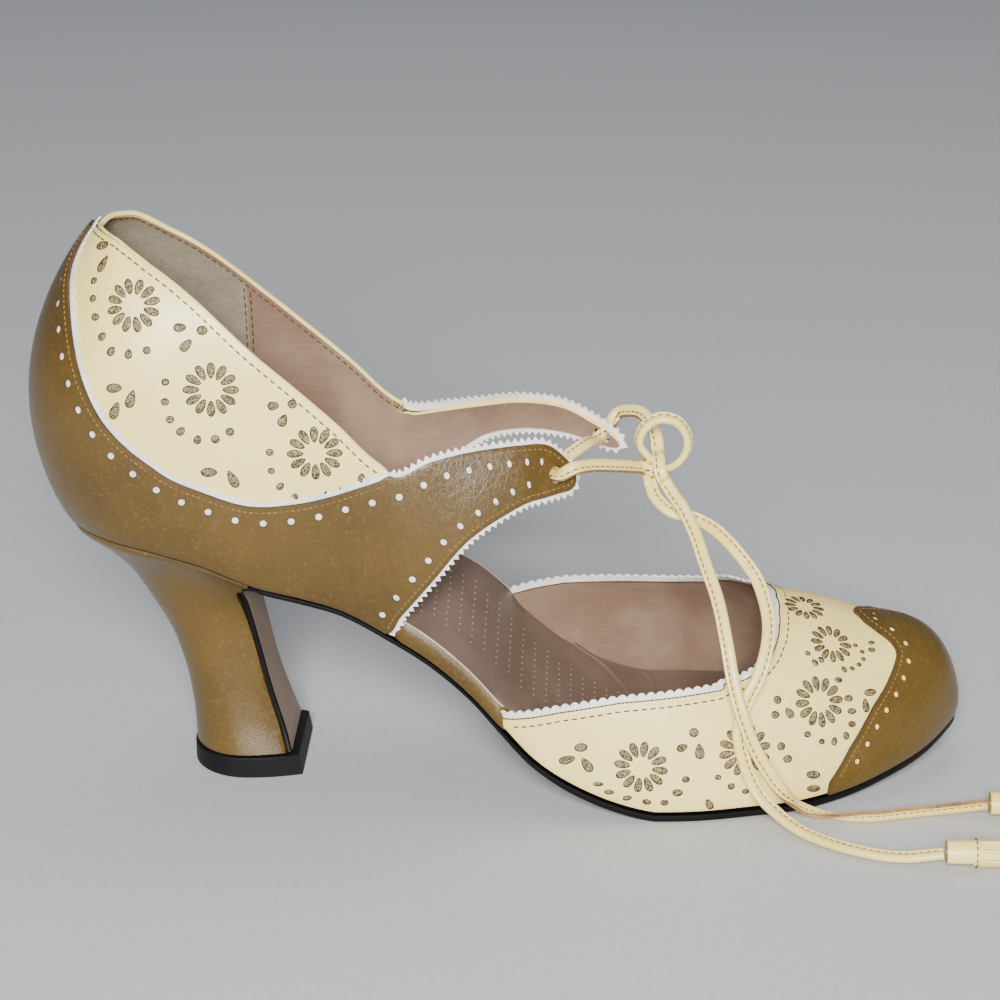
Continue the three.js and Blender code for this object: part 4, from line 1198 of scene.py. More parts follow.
def dotted():
    """The sock, with rows of small pale pricks across its middle."""
    where = place_mm()
    slow = noise(where, 0.05, 4.0)
    fine = noise(where, 1.1, 4.0)
    x, y, _ = axes(where)
    row = (x / SOCK_DOT_PITCH).maths("FLOOR")
    shifted = y / SOCK_DOT_PITCH + row.maths("MODULO", 2.0) * 0.5
    dx = ((x / SOCK_DOT_PITCH).maths("FRACT") - 0.5) * SOCK_DOT_PITCH
    dy = (shifted.maths("FRACT") - 0.5) * SOCK_DOT_PITCH
    dots = (dx * dx + dy * dy).maths("SQRT").ramp(SOCK_DOT_SIZE * 0.7, SOCK_DOT_SIZE, 1.0, 0.0)
    dots = dots * y.maths("ABSOLUTE").ramp(DOTS_HALF_WIDTH, DOTS_HALF_WIDTH + 0.5, 1.0, 0.0)
    dots = dots * x.ramp(DOTS_FROM, DOTS_FROM + 1.0) * x.ramp(DOTS_TO, DOTS_TO + 1.0, 1.0, 0.0)
    tone = slow.ramp(0.35, 0.65).blend(SOCK_DEEP, SOCK)
    tone = (dots * 0.6).blend(tone, CREAM_PALE)
    height = fine - dots * 2.0
    return {"Base Color": tone, "Roughness": slow.ramp(0.3, 0.7, 0.42, 0.55),
            "Specular IOR Level": 0.35, "bump": (height, 0.14, 0.0004)}


# Where edge is given, the leather darkens towards its cut edge, partly as painted shade.
TAN_LEATHER = material("tan_leather", leather(TAN, TAN_DEEP, TAN_PALE, 0.36, 0.2, edge=1.0))
# The foxing's leather, with painted shade in its creases.
TAN_CREASED_SHADED = material("tan_creased_shaded", leather(TAN, TAN_DEEP, TAN_PALE, 0.36, 0.2, 0.5, 1.1))
TAN_HEEL = material("tan_heel", leather(TAN, TAN_DEEP, TAN_PALE, 0.38, 0.16))
CREAM_LEATHER = material("cream_leather", leather(CREAM, CREAM_DEEP, CREAM_PALE, 0.42, 0.14, edge=0.8))
CREAM_PLAIN = material("cream_plain", leather(CREAM, CREAM_DEEP, CREAM_PALE, 0.45, 0.14))
EDGE = material("cut_edge", plain(BROWN_EDGE, colour(52, 38, 24), 0.75))
# The punched holes' cut edges: their own dark, deepened by painted shade.
PUNCH_EDGE_SHADED = material("punch_edge_shaded", plain(colour(62, 48, 26), colour(46, 36, 20), 0.75))
TRIM_WHITE = material("trim_white", plain(WHITE, WHITE_DEEP, 0.6, 0.7, 0.15))
UNDER = material("underlay", mottled)
LINING = material("lining", lined)
COUNTER_SUEDE = material("counter_suede", plain(COUNTER, COUNTER_DEEP, 0.8, 1.4, 0.35, 0.0005))
SOCK_LEATHER = material("sock", dotted)
SOCK_PALE = material("sock_pale", plain(colour(206, 186, 166), colour(180, 160, 142), 0.6))
SOLE_UNDER = material("sole_under", plain(SOLE_TAUPE, SOLE_DEEP, 0.5, 0.5, 0.12, 0.0004, (0.3, 1, 1)))
# Black of the sole's edge; on the top face next to the upper it is partly painted shade.
SOLE_EDGE_AND_SHADE = material("sole_edge_and_shade", plain(BLACK, colour(6, 6, 7), 0.5, 0.6, 0.15, shine=0.2))
RUBBER = material("rubber", plain(colour(14, 14, 15), BLACK, 0.6, 1.2, 0.25, shine=0.25))
LACE = material("lace", leather(colour(248, 226, 142), colour(238, 210, 118), CREAM_PALE, 0.38, 0.16))
RAW = material("raw_edge", plain(colour(176, 142, 92), colour(128, 98, 58), 0.85, 1.5, 0.4))
THREAD = material("thread", plain(THREAD_BROWN, colour(60, 46, 28), 0.7, 3.0, 0.3, 0.0001))
TAN_THREAD = material("tan_thread", plain(THREAD_TAN, colour(112, 84, 42), 0.7, 3.0, 0.3, 0.0001))


# Ties, tassels and the knot
UPPER_TURN = math.radians(-75)
UPPER_TURN_SPAN = (0.66, 0.78)
BAR_FACE = np.array([0.0, -0.75, 0.66])
LOOP_MIDDLE = smooth_line(ROUTES["loop"], 0.8).mean(axis=0)


def loop_faces(line):
    return unit(unit(line - LOOP_MIDDLE) * 0.9 + TO_CAMERA * 0.4)


def make_laces():
    tassels = {name: tassel(f"tassel_{name}_leather", TASSELS[name], "tassel_" + name, seed)
               for name, seed in TASSEL_SEEDS.items()}
    knot = make_knot()
    for name, flip in (("upper", 1.0), ("lower", -1.0)):
        route = smooth_line(ROUTES["end_" + name], 1.0)
        facing = lace_faces(route)
        if name == "upper":
            facing = twisted(route, facing, *UPPER_TURN_SPAN, UPPER_TURN)
        body, thread = lace("lace_" + name, route, facing, "lace_end_" + name, flip)
        length_of(route) * MM
        in_frame(even(route, 7.0)).tolist()
    route = smooth_line(ROUTES["loop"], 0.8)
    body, thread = lace("lace_loop_strip", route, loop_faces(route), "lace_loop", -1.0)
    length_of(route) * MM
    in_frame(even(route, 2.0)).tolist()
    make_bar()


# Each strand is drawn from its second point to its last but one, and bends as if it went on.
KNOT_STRANDS = [
    [[151.8, 3.9, 81.6], [152, 1.9, 79.9], [152.1, -1.6, 79.4], [152.3, -4.3, 77.6],
     [153.0, -4.9, 75.6], [153.6, -3.6, 74.2], [155.6, -6.0, 71.6]],
    [[142.8, -8.5, 79.8], [148.0, -2.2, 77.2], [150.2, -1.3, 76.4], [152.6, -1.0, 76.3],
     [154.4, -1.9, 76.9], [155.5, -2.8, 77.7], [157.0, -3.3, 78.9]],
    [[147.3, -3.7, 83.6], [149.4, -3.2, 80.4], [149.6, -1.0, 78.6], [149.7, 0.9, 76.8],
     [149.8, -0.2, 74.9], [150.2, -2.4, 73.0], [151.2, -2.2, 70.0]],
]


def make_knot():
    """The three strands that pass over one another between the ends of the ties."""
    loop_start, loop_end = loop_faces(np.array([ROUTES["loop"][0], ROUTES["loop"][-1]]))
    ends = [(BAR_FACE, TO_CAMERA, 1), (BAR_FACE, loop_end, 1), (-loop_start, TO_CAMERA, -1)]
    parts, looks, threads = [], [], []
    for route, (first, last, flip) in zip(KNOT_STRANDS, ends):
        line = smooth_line(route, 0.5)
        start, stop = [np.linalg.norm(line - np.array(end), axis=1).argmin()
                       for end in (route[1], route[-2])]
        line = line[start:stop + 1]
        share = np.linspace(0, 1, len(line))[:, None]
        facing = unit(first * (1 - share) + last * share)
        points, faces, look = lace_mesh(line, facing, flip)
        parts.append((points, faces))
        looks += look
        threads.append(seam_stitches(line, facing, flip))
    knot = piece("knot", *join(parts), [LACE, RAW], "lace_leather", ["lace_knot"], looks)
    return [knot, piece("knot_stitches", *join(threads), [THREAD], "lace_leather")]


LACE_HOLES = {-1: (-(WAIST + 5.55), 0.45), 1: (WAIST + 6.2, 0.52)}
LACE_HOLE_SIZE = 4.6
THROUGH_HOLE = (1.8, -1.5, -4.8)
BAR_NEAR = [[148.0, -2.2, 77.2], [142.8, -8.5, 79.8], [136.2, -15.0, 82.2], [131.6, -19.0, 82.8]]
BAR_MIDDLE = [134.6, 0, 82.4]
BAR_FAR = [[142.2, 17.6, 84.2], [145.4, 15.0, 85.9], [148.2, 12.0, 86.2], [150.3, 8, 85.0],
           [151.6, 4.2, 82.6], [152, 1.9, 79.9]]


def make_bar():
    """The lace from the knot through both tabs and back. Between the tabs it turns half over."""
    through = {}
    for side, spot in LACE_HOLES.items():
        spot = np.array([spot])
        centre = quarter_point(spot[:, 0], spot[:, 1])[0]
        normal = QUARTER.normals(spot)[0]
        through[side] = [centre + normal * height for height in THROUGH_HOLE]
    route = [*BAR_NEAR, *through[-1], BAR_MIDDLE, *through[1][::-1], *BAR_FAR]
    line = smooth_line(route, 0.7)
    span = [np.linalg.norm(line - point, axis=1).argmin() / len(line)
            for point in (through[1][2], BAR_FAR[0])]
    facing = twisted(line, np.tile(BAR_FACE, (len(line), 1)), *span, math.pi)
    lace("lace_bar_strip", line, facing, "lace_bar", -1.0)


# Upper
QUARTER = Chart(quarter_point, sign=-1, low=-TAB_TIP - 0.5, high=TAB_TIP + 0.5, middle=0.5,
                height=50.0, towards_toe=1)
VAMP = Chart(vamp_point, sign=1, low=-1.0, high=1.0, middle=0.35, height=45.0, towards_toe=-1)
SIDE_NAMES = {-1: "near", 1: "far"}

# Layers: the depths of the outer and the inner face under the upper's outer surface.
FOXING_LAYER = (0.0, 0.8)
TRIM_LAYER = (0.82, 1.2)
CREAM_LAYER = (1.3, 1.75)
UNDERLAY_LAYER = (1.62, 1.7)
LINING_LAYER = (1.25, 2.6)
COUNTER_LAYER = (2.3, 2.68)
TOE_CAP_LAYER = (0.3, 1.2)
VAMP_TRIM_LAYER = (1.5, 2.1)
VAMP_LINING_LAYER = (1.72, 2.65)
ON_FOXING = 0.02
ON_CREAM = 1.28
ON_LINING = 2.72

# Holes: the width of the cut edge that shows, dark partly as painted shade, and its depth.
TAN_RIM = 0.16
CREAM_RIM = (0.24, 1.42)
STITCH_IN = 1.3
HOLE_ROW_IN = 4.1
HOLE_PITCH = 6.6
HOLE_WIDTH = 1.95
TIP_START = TAB_TIP - 0.75
COLLAR_END = 9.3


def path_on(side, places, shares):
    return np.column_stack([side * places, np.broadcast_to(shares, places.shape)])


def tab_low(along):
    """The tab's lower edge, a share of its height, which rises towards the rounded tip."""
    s = np.clip((along - TIP_START) / (TAB_TIP - TIP_START), 0, 1)
    return 0.5 * (1 - np.sqrt(1 - s * s))


def tab_top(along):
    """The foxing's upper edge, which falls towards the tip as the lower one rises."""
    near = [foxing_top(np.abs(along + d)) for d in np.linspace(-0.35, 0.35, 9)]
    return np.minimum(np.mean(near, axis=0), 0.985) - tab_low(along)


def tab_places(start, stop):
    places = np.linspace(start, min(stop, TIP_START), 160)
    if stop > TIP_START:
        turn = np.linspace(0, math.pi / 2, 14)[1:]
        places = np.concatenate([places, TIP_START + (TAB_TIP - TIP_START) * np.sin(turn)])
    return places


def tab_edge(side, start=0.0, stop=0.0):
    """From the heel along the top edge, round the tip and back along the lower edge."""
    places = tab_places(start, TAB_TIP)
    back = tab_places(stop, TAB_TIP)[::-1]
    return np.vstack([path_on(side, places, tab_top(places)), path_on(side, back, tab_low(back))])


# Punched drops: place, share, angle, length, width and how pointed they are.
QUARTER_MARKS = [
    [-2.122, 0.9656, 25, 4.1, 2.4, 0.0], [-2.497, 0.9215, 84, 4.6, 2.4, 0.7],
    [-2.369, 0.8676, 24, 2.1, 1.8, 0.2], [-2.517, 0.8186, 13, 2.1, 1.8, 0.2],
    [-2.724, 0.7696, 13, 2.3, 1.9, 0.2], [-2.99, 0.7206, 56, 2.4, 1.9, 0.3],
    [-3.237, 0.6863, 70, 2.6, 1.9, 0.3], [-3.593, 0.6961, 101, 2.4, 1.8, 0.3],
    [-3.958, 0.7304, 28, 1.9, 1.9, 0.0], [-4.727, 0.8676, 36, 3.0, 2.1, 0.4],
    [-5.191, 0.9166, 41, 2.6, 2.3, 0.0], [-4.866, 0.8235, 83, 3.6, 2.2, 0.6],
    [-3.336, 0.5736, 20, 4.0, 2.3, 0.2], [-3.652, 0.554, 87, 4.6, 2.4, 0.7],
    [-3.356, 0.5002, 80, 4.6, 2.4, 0.6], [-4.392, 0.6569, 27, 1.9, 1.8, 0.0],
    [-4.372, 0.5883, 27, 2.0, 1.9, 0.0], [-4.481, 0.5344, 26, 2.0, 1.9, 0.0],
    [-4.718, 0.5099, 80, 2.4, 1.9, 0.3], [-5.063, 0.5099, 108, 2.3, 1.8, 0.3],
    [-5.408, 0.554, 35, 2.1, 2.1, 0.0], [-5.685, 0.6226, 33, 2.1, 2.1, 0.0],
    [-6.573, 0.8529, 43, 2.8, 2.1, 0.4], [-6.977, 0.9215, 41, 2.2, 2.2, 0.0],
    [-6.77, 0.8186, 103, 3.2, 2.2, 0.6], [-5.26, 0.4071, 34, 3.9, 2.4, 0.2],
    [-5.704, 0.4365, 148, 4.8, 2.4, 0.7], [-6.474, 0.6422, 30, 1.9, 1.8, 0.0],
    [-6.494, 0.5638, 30, 1.7, 1.6, 0.0], [-6.672, 0.5148, 82, 2.2, 1.7, 0.3],
    [-6.977, 0.4953, 112, 2.2, 1.7, 0.3], [-7.747, 0.6079, 33, 2.1, 1.8, 0.0],
    [-8.102, 0.6863, 40, 1.9, 1.9, 0.0], [-8.547, 0.8382, 131, 2.5, 1.9, 0.5],
]
QUARTER_FLOWERS = [(-3.622, 0.848), (-5.349, 0.7304), (-7.461, 0.7696)]
VAMP_MARKS = [
    [-0.8125, 0.1546, 34, 3.3, 2.2, 0.0], [-0.8384, 0.0903, 47, 4.3, 2.2, 0.5],
    [-0.8025, 0.1064, 147, 4.2, 2.4, 0.6], [-0.7835, 0.0542, 30, 2.6, 1.3, 0.3],
    [-0.7656, 0.0381, 22, 2.5, 1.5, 0.3], [-0.7347, 0.0381, 36, 2.4, 1.5, 0.2],
    [-0.7007, 0.0421, 10, 2.2, 1.7, 0.2], [-0.6688, 0.0462, 11, 2.0, 1.8, 0.0],
    [-0.6439, 0.0863, 0, 2.6, 2.0, 0.2], [-0.6279, 0.1345, 0, 2.0, 1.7, 0.0],
    [-0.613, 0.2912, 0, 2.4, 2.3, 0.0], [-0.6359, 0.239, 27, 2.8, 1.9, 0.4],
    [-0.602, 0.2309, 99, 3.9, 2.4, 0.7], [-0.5681, 0.1426, -10, 1.7, 1.4, 0.0],
    [-0.5451, 0.1064, 0, 1.9, 1.7, 0.0], [-0.5212, 0.0823, -9, 1.8, 1.5, 0.0],
    [-0.4783, 0.1144, -9, 2.0, 1.9, 0.0], [-0.452, 0.2028, -1, 2.4, 2.0, 0.2],
    [-0.4603, 0.2529, 0, 2.1, 2.1, 0.0], [-0.583, 0.0341, 114, 3.4, 1.9, 0.5],
    [-0.4135, 0.2831, -9, 1.9, 1.6, 0.2], [-0.3925, 0.243, -17, 1.7, 1.5, 0.0],
    [-0.3716, 0.2309, 66, 2.2, 1.7, 0.3], [-0.3486, 0.239, 98, 2.1, 1.8, 0.3],
    [-0.3317, 0.2751, -16, 2.3, 1.6, 0.2], [-0.3227, 0.3233, -16, 2.6, 1.6, 0.2],
    [-0.3177, 0.3755, -16, 2.5, 1.7, 0.0], [-0.4524, 0.4277, 0, 2.1, 2.1, 0.0],
    [-0.4364, 0.3755, 115, 2.9, 2.1, 0.5], [-0.4623, 0.3715, 0, 2.1, 2.0, 0.2],
    [-0.3177, 0.4559, -18, 2.3, 1.5, 0.0], [-0.2688, 0.3635, -15, 3.6, 1.9, 0.2],
    [-0.2908, 0.3233, 75, 3.6, 2.1, 0.6], [-0.4135, 0.1185, -17, 3.9, 2.1, 0.0],
    [-0.4135, 0.0521, -20, 3.9, 2.1, 0.0], [-0.3456, 0.5924, -18, 1.5, 1.4, 0.0],
    [-0.3446, 0.5482, 111, 2.1, 1.6, 0.4], [-0.3257, 0.5523, 107, 1.8, 1.5, 0.3],
    [-0.2898, 0.488, 108, 1.9, 1.4, 0.3], [-0.2708, 0.48, -26, 1.5, 1.2, 0.0],
    [-0.2499, 0.484, -17, 1.4, 1.2, 0.0], [-0.2309, 0.496, -16, 1.4, 1.2, 0.0],
    [-0.217, 0.5241, -17, 1.4, 1.2, 0.0], [-0.214, 0.5603, -17, 1.4, 1.2, 0.0],
    [-0.192, 0.5121, -23, 2.3, 1.4, 0.0], [-0.1721, 0.5362, -25, 2.0, 1.2, 0.0],
]
VAMP_FLOWERS = [(-0.7107, 0.1586), (-0.5212, 0.239), (-0.3766, 0.3956), (-0.2628, 0.6045)]
TOP_FLOWER = (-0.148, 0.79)
SMALL_FLOWER = 0.8
TIP_FLOWER = 0.86
SEAM_PLACE = 5.6
SEAM_SHIFTS = (-0.05, 0.07)
LACE_CLEARANCE = 4.2


def lace_hole(side):
    return QUARTER.around(LACE_HOLES[side], ring_of(20, LACE_HOLE_SIZE, LACE_HOLE_SIZE))


def clear_of_lace(spots):
    points = quarter_point(spots[:, 0], spots[:, 1])
    keep = np.ones(len(spots), bool)
    for spot in LACE_HOLES.values():
        keep &= np.linalg.norm(points - quarter_point(*spot), axis=1) > LACE_CLEARANCE
    return spots[keep]


def shrink(place):
    """Holes lie closer and get narrower towards the tip of a tab."""
    return np.clip(1 - (np.abs(place) - 10.2) * 0.12, 0.45, 1)


def hole_row(path):
    """Spots for punched holes along a path on the quarter."""
    step = 0.25
    fine = QUARTER.along(path, step)
    at = np.concatenate([[0], np.cumsum(step / shrink(fine[:-1, 0]))])
    marks = np.arange(HOLE_PITCH * 0.3, at[-1], HOLE_PITCH)
    return read_at(marks, at, fine)


# Rows of holes in the foxing: the edge that each follows and on which side of it the row lies,
# its first and last place, and how far the corners of the edge are rounded.
HOLE_ROWS = [(tab_top, 1, 0.7, 14.6, 9), (tab_low, -1, COLLAR_END, 14.4, 3)]


def foxing_hole_spots():
    rows = []
    for side in (-1, 1):
        for edge, way, first, last, span in HOLE_ROWS:
            places = tab_places(first, last)
            path = QUARTER.rounded(path_on(side, places, edge(places)), span)
            path = QUARTER.rounded(QUARTER.beside(path, way * side * HOLE_ROW_IN), 4)
            rows.append(clear_of_lace(hole_row(path)))
    return np.concatenate(rows)


def make_foxing():
    loop = np.vstack([tab_edge(-1), tab_edge(1)[::-1]])
    outline = QUARTER.along(loop, 1.3)[:-1]
    spots = foxing_hole_spots()
    holes = [QUARTER.around(spot, ring_of(14, HOLE_WIDTH * shrink(spot[0]), HOLE_WIDTH)) for spot in spots]
    holes += [lace_hole(side) for side in LACE_HOLES]
    foxing = panel("foxing_leather", QUARTER, outline, holes, FOXING_LAYER,
                   [TAN_CREASED_SHADED, EDGE, TAN_HEEL], "tan_leather", ["foxing"], 1.7, both=True)
    crease(foxing)
    discs("foxing_hole_lining", QUARTER, spots, 1.25, 0.45, TRIM_WHITE, "white_trim")
    rims("foxing_hole_rims", QUARTER, holes, TAN_RIM, 0.1, EDGE, "tan_leather")


def crease(foxing):
    """Marks how creased the foxing is, for its crease bumps and their painted shade: most on the tabs,
    where they bend to be tied.
    """
    mesh = foxing.data
    values = np.zeros(len(mesh.vertices) * 3)
    mesh.attributes["layout"].data.foreach_get("vector", values)
    place = np.abs(QUARTER.spots(values.reshape(-1, 3)[:, :2])[:, 0])
    amount = np.clip((place - SEAM_PLACE) / 2.5, 0, 1) * np.clip((12.5 - place) / 3, 0.15, 1)
    mesh.attributes.new("creased", "FLOAT", "POINT").data.foreach_set("value", amount * 0.9 + 0.08)


def make_quarter_side(side, name):
    """One side's seams and pinked edge on the foxing, and its punched cream leather."""
    path = QUARTER.beside(QUARTER.along(tab_edge(side, 0.5, 9.1), 1.0), STITCH_IN * side)
    stitch("foxing_stitches_" + name, QUARTER, path, FOXING_SEAM, ON_FOXING, TAN_THREAD, "tan_leather")
    edge = QUARTER.along(tab_edge(side, 0.2, 9.05), 1.0)
    pinked("pinked_" + name, QUARTER, edge, SHARP_TEETH, TRIM_LAYER, -side, ["trim_" + name])
    places = np.linspace(0.01, COLLAR_END, 130)
    low = np.clip(tab_top(places) - 0.07, 0.0, 0.97)
    loop = np.vstack([path_on(side, places, 0.992), path_on(side, places, low)[::-1]])
    outline = QUARTER.along(loop, 1.2)[:-1]
    marks = drops(QUARTER, QUARTER_MARKS, -side)
    for place, share in QUARTER_FLOWERS:
        marks += flower(QUARTER, (-side * place, share), 8)
    panel("quarter_leather_" + name, QUARTER, outline, marks, CREAM_LAYER, [CREAM_LEATHER, PUNCH_EDGE_SHADED],
          "cream_leather")
    rims("quarter_hole_rims_" + name, QUARTER, marks, *CREAM_RIM, PUNCH_EDGE_SHADED, "cream_leather")
    panel("quarter_underlay_" + name, QUARTER, outline, [], UNDERLAY_LAYER, [UNDER, EDGE],
          "cream_leather", grid=2.6)
    path = QUARTER.beside(path_on(side, places, 1.0), 2.2 * side)
    stitch("collar_stitches_" + name, QUARTER, QUARTER.along(path, 1.0), UPPER_SEAM, ON_CREAM, THREAD,
           "cream_leather")


def make_quarter_lining():
    inner = []
    for side in (-1, 1):
        places = tab_places(0.0, TAB_TIP)
        rim = np.clip((places - WAIST) * 0.3, 0, 0.05)
        top = np.minimum(0.988 - rim, np.where(places > WAIST, tab_top(places) - rim, 1.0))
        low = path_on(side, places, tab_low(places) + rim)[::-1]
        inner.append(np.vstack([path_on(side, places, top), low]))
    loop = QUARTER.along(np.vstack([inner[0], inner[1][::-1]]), 1.5)[:-1]
    panel("quarter_lining", QUARTER, loop, [lace_hole(side) for side in LACE_HOLES], LINING_LAYER,
          [LINING, CREAM_PLAIN], "sock_lining", ["quarter"], 2.0, inward=True)


def make_counter():
    """The suede round the inside of the heel, with two rows of stitches at each end."""
    places = np.linspace(-SEAM_PLACE, SEAM_PLACE, 120)
    loop = np.vstack([path_on(1, places, 0.003), path_on(1, places[::-1], 0.965)])
    panel("counter_lining", QUARTER, QUARTER.along(loop, 1.5)[:-1], [], COUNTER_LAYER,
          [COUNTER_SUEDE, COUNTER_SUEDE], "sock_lining", grid=2.2, inward=True)
    shares = np.linspace(0.05, 0.96, 30)
    for side in (-1, 1):
        for shift in SEAM_SHIFTS:
            seam = np.column_stack([np.full(30, side * (SEAM_PLACE + shift)), shares])
            stitch(f"counter_stitches_{side + 1}_{shift > 0:d}", QUARTER, seam, COUNTER_SEAM, ON_LINING,
                   THREAD, "sock_lining", -1)


def make_collar():
    """The seam inside the collar, and its rounded top edge."""
    places = np.linspace(-COLLAR_END, COLLAR_END, 200)
    top = path_on(1, places, 1.0)
    inside = path_on(1, places, QUARTER.beside(top, 1.9)[:, 1])
    stitch("collar_inner_stitches", QUARTER, QUARTER.along(inside, 1.0), COLLAR_SEAM, ON_LINING, THREAD,
           "cream_leather", -1)
    points, _, up, left = QUARTER.edge_frames(QUARTER.along(top, 1.2))
    out = left * np.where(left[:, 2:] > 0, 1, -1)
    middle = points - up * 1.98 - out * 0.4
    rings = round_rings(middle, up, out, 0.7, 0.5, 14)
    piece("collar_edge", *loft(rings), [CREAM_PLAIN], "cream_leather")


def make_quarter():
    make_foxing()
    for side, name in SIDE_NAMES.items():
        make_quarter_side(side, name)
    make_quarter_lining()
    make_counter()
    make_collar()


def vamp_marks():
    """The outer side has all the marks; the inner side leaves out those nearest to the toe."""
    marks = []
    for side in (1, -1):
        outer = side > 0
        marks += drops(VAMP, [row for row in VAMP_MARKS if outer or row[0] < -0.3], side)
        for k, (place, share) in enumerate(VAMP_FLOWERS if outer else VAMP_FLOWERS[:-1]):
            size = TIP_FLOWER if k == len(VAMP_FLOWERS) - 1 else 1.0
            marks += flower(VAMP, (side * place, share), 5 + 9 * k, size)
    return marks + flower(VAMP, TOP_FLOWER, 12, SMALL_FLOWER)


def closed_loop(low, high, pitch):
    """The outline of a panel between two edges that run the same way."""
    return VAMP.along(np.vstack([low, high[::-1], low[:1]]), pitch)[:-1]


def make_vamp():
    places = np.linspace(-1, 1, 500)
    upper = path_on(1, places, vamp_top(places))
    loop = closed_loop(path_on(1, places, 0.0), upper, 1.3)
    marks = vamp_marks()
    panel("vamp_leather", VAMP, loop, marks, CREAM_LAYER, [CREAM_LEATHER, PUNCH_EDGE_SHADED], "cream_leather",
          ["vamp"])
    rims("vamp_hole_rims", VAMP, marks, *CREAM_RIM, PUNCH_EDGE_SHADED, "cream_leather")
    panel("vamp_underlay", VAMP, loop, [], UNDERLAY_LAYER, [UNDER, EDGE], "cream_leather", grid=2.6)
    panel("vamp_lining", VAMP, loop, [], VAMP_LINING_LAYER, [LINING, EDGE], "sock_lining", grid=2.0,
          inward=True)
    edge = VAMP.along(upper, 1.0)
    path = VAMP.rounded(VAMP.beside(edge[2:-2], -2.0), 2)
    stitch("vamp_stitches", VAMP, path, UPPER_SEAM, ON_CREAM, THREAD, "cream_leather")
    # A dark line along the top edge: the cut edge, with painted shade under the trim.
    stitch("vamp_edge_and_shade_line", VAMP, edge, VAMP_EDGE_AND_SHADE_LINE, 1.4, EDGE, "cream_leather")
    pinked("pinked_vamp", VAMP, edge, ROUND_TEETH, VAMP_TRIM_LAYER, 1, ["trim_vamp"])


TOE_CAP_ENDS = np.array([-50.5, 55.5])


def make_toe_cap():
    places = np.linspace(*place_of_turn(TOE_CAP_ENDS), 260)
    rim = path_on(1, places, cap_edge(places))
    edge = VAMP.along(rim, 1.0)
    row = VAMP.along(VAMP.rounded(VAMP.beside(edge[3:-3], -3.4), 3), 5.0)[1:-1]
    holes = [VAMP.around(spot, ring_of(14, 1.6, 1.6)) for spot in row]
    loop = closed_loop(path_on(1, places, 0.0), rim, 1.2)
    panel("toe_cap_leather", VAMP, loop, holes, TOE_CAP_LAYER, [TAN_LEATHER, EDGE], "tan_leather",
          ["toe_cap"])
    discs("cap_hole_lining", VAMP, row, 1.1, 0.75, CREAM_PLAIN, "cream_leather")
    rims("cap_hole_rims", VAMP, holes, TAN_RIM, 0.42, EDGE, "tan_leather")
    path = VAMP.along(VAMP.beside(edge[2:-2], -1.25), 1.0)
    stitch("cap_stitches", VAMP, path, TOE_CAP_SEAM, 0.3, TAN_THREAD, "tan_leather")


# Sole, bed and heel
# The front of the heel, from the shank down to the tip, as shares of LENGTH, SEAT and HALF_BALL.
BREAST = Rows("along level out", [
    [0.2435, 0.831, 0.6], [0.2325, 0.806, 0.5], [0.229, 0.762, 0.36], [0.2325, 0.695, 0.28],
    [0.243, 0.52, 0.25], [0.2535, 0.35, 0.25], [0.267, 0.185, 0.28],
    [0.274, (TIP + 2 * GAP) / SEAT, 0.33],
])
BREAST_TOP = 0.258

# The sole's section: the place across it, the share of its thickness, and how far it is drawn in.
SOLE_SIDE = [(0.5, 0), (0.2, 0.12), (0.03, 0.45)]
SOLE_PROFILE = [
    *[(-1, level, inset) for level, inset in SOLE_SIDE],
    *[(share, 0.0, 0) for share in np.linspace(-0.94, 0.94, 13)],
    *[(1, level, inset) for level, inset in SOLE_SIDE[::-1]],
    (1, 0.85, 0.1), (0.9, 1.0, 0),
    *[(share, 1.0, 0) for share in np.linspace(0.6, -0.6, 5)],
    (-0.9, 1.0, 0), (-1, 0.85, 0.1),
]
SOLE_UNDERSIDE = range(3, 15)


def both_sides(places):
    return station_on(places, -1), station_on(places, 1)


def sole_line():
    """The sole's middle line from the toe back under the shank, then down the heel's front."""
    places = np.linspace(TOE - 0.02, float(station_at(BREAST_TOP * LENGTH)), 130)
    near, far = both_sides(places)
    forward = np.column_stack([near["x"], near["z"] - near["thick"], near["y"], far["y"],
                               far["z"] - near["z"], near["thick"]])
    seam = forward[-1]
    x, z = BREAST.column("along") * LENGTH, BREAST.column("level") * SEAT
    out = BREAST.column("out") * HALF_BALL
    down = np.column_stack([x, z, -out, out, np.zeros(len(x)), np.full(len(x), seam[5])])
    rows = Rows("x z near far lift thick", np.vstack([forward[-6], seam, down]))
    bend = rows.smooth(np.linspace(1, 9, 60)[1:], rows.values[0], rows.values[-1])
    line = np.vstack([forward, np.column_stack([bend[name] for name in rows.names])])
    way = directions(line[:, :2])
    turn = len(forward) - 1
    square = np.column_stack([way[:, 1], -way[:, 0]])
    square[:turn] = 0.0, 1.0
    both = np.hstack([line, square])
    for _ in range(6):
        part = both[turn - 7:turn + 9]
        part[1:-1] = (part[:-2] + 2 * part[1:-1] + part[2:]) / 4
    return both[:, :6], unit(both[:, 6:]), turn


def make_sole():
    line, squares, _ = sole_line()
    rings = []
    for (x, z, near, far, lift, thick), square in zip(line, squares):
        half = (far - near) / 2
        ring = []
        for share, level, inset in SOLE_PROFILE:
            y = (near + far) / 2 + share * (half - min(inset, half * 0.5))
            tilt = lift * (y - near) / max(far - near, 1e-6)
            up = square * thick * level
            ring.append([x + up[0], y, z + up[1] + tilt])
        rings.append(np.array(ring))
    points, faces = loft(rings)
    size = len(SOLE_PROFILE)
    # All but the underside are black; on the top face, under the upper, this black is partly painted
    # shade.
    looks = [int(k % size not in SOLE_UNDERSIDE) for k in range(len(faces) - 2)] + [1, 1]
    piece("sole_leather", points, faces, [SOLE_UNDER, SOLE_EDGE_AND_SHADE], "sole_leather", ["outsole"], looks)


# The bed is drawn in under the upper, and reaches the edge where the waist is open.
UNDER_UPPER = 1.0 + 1.4 + 3 * GAP
OPEN_FROM = 0.382
OPEN_TO = 0.516
OPEN_BLEND = 0.012


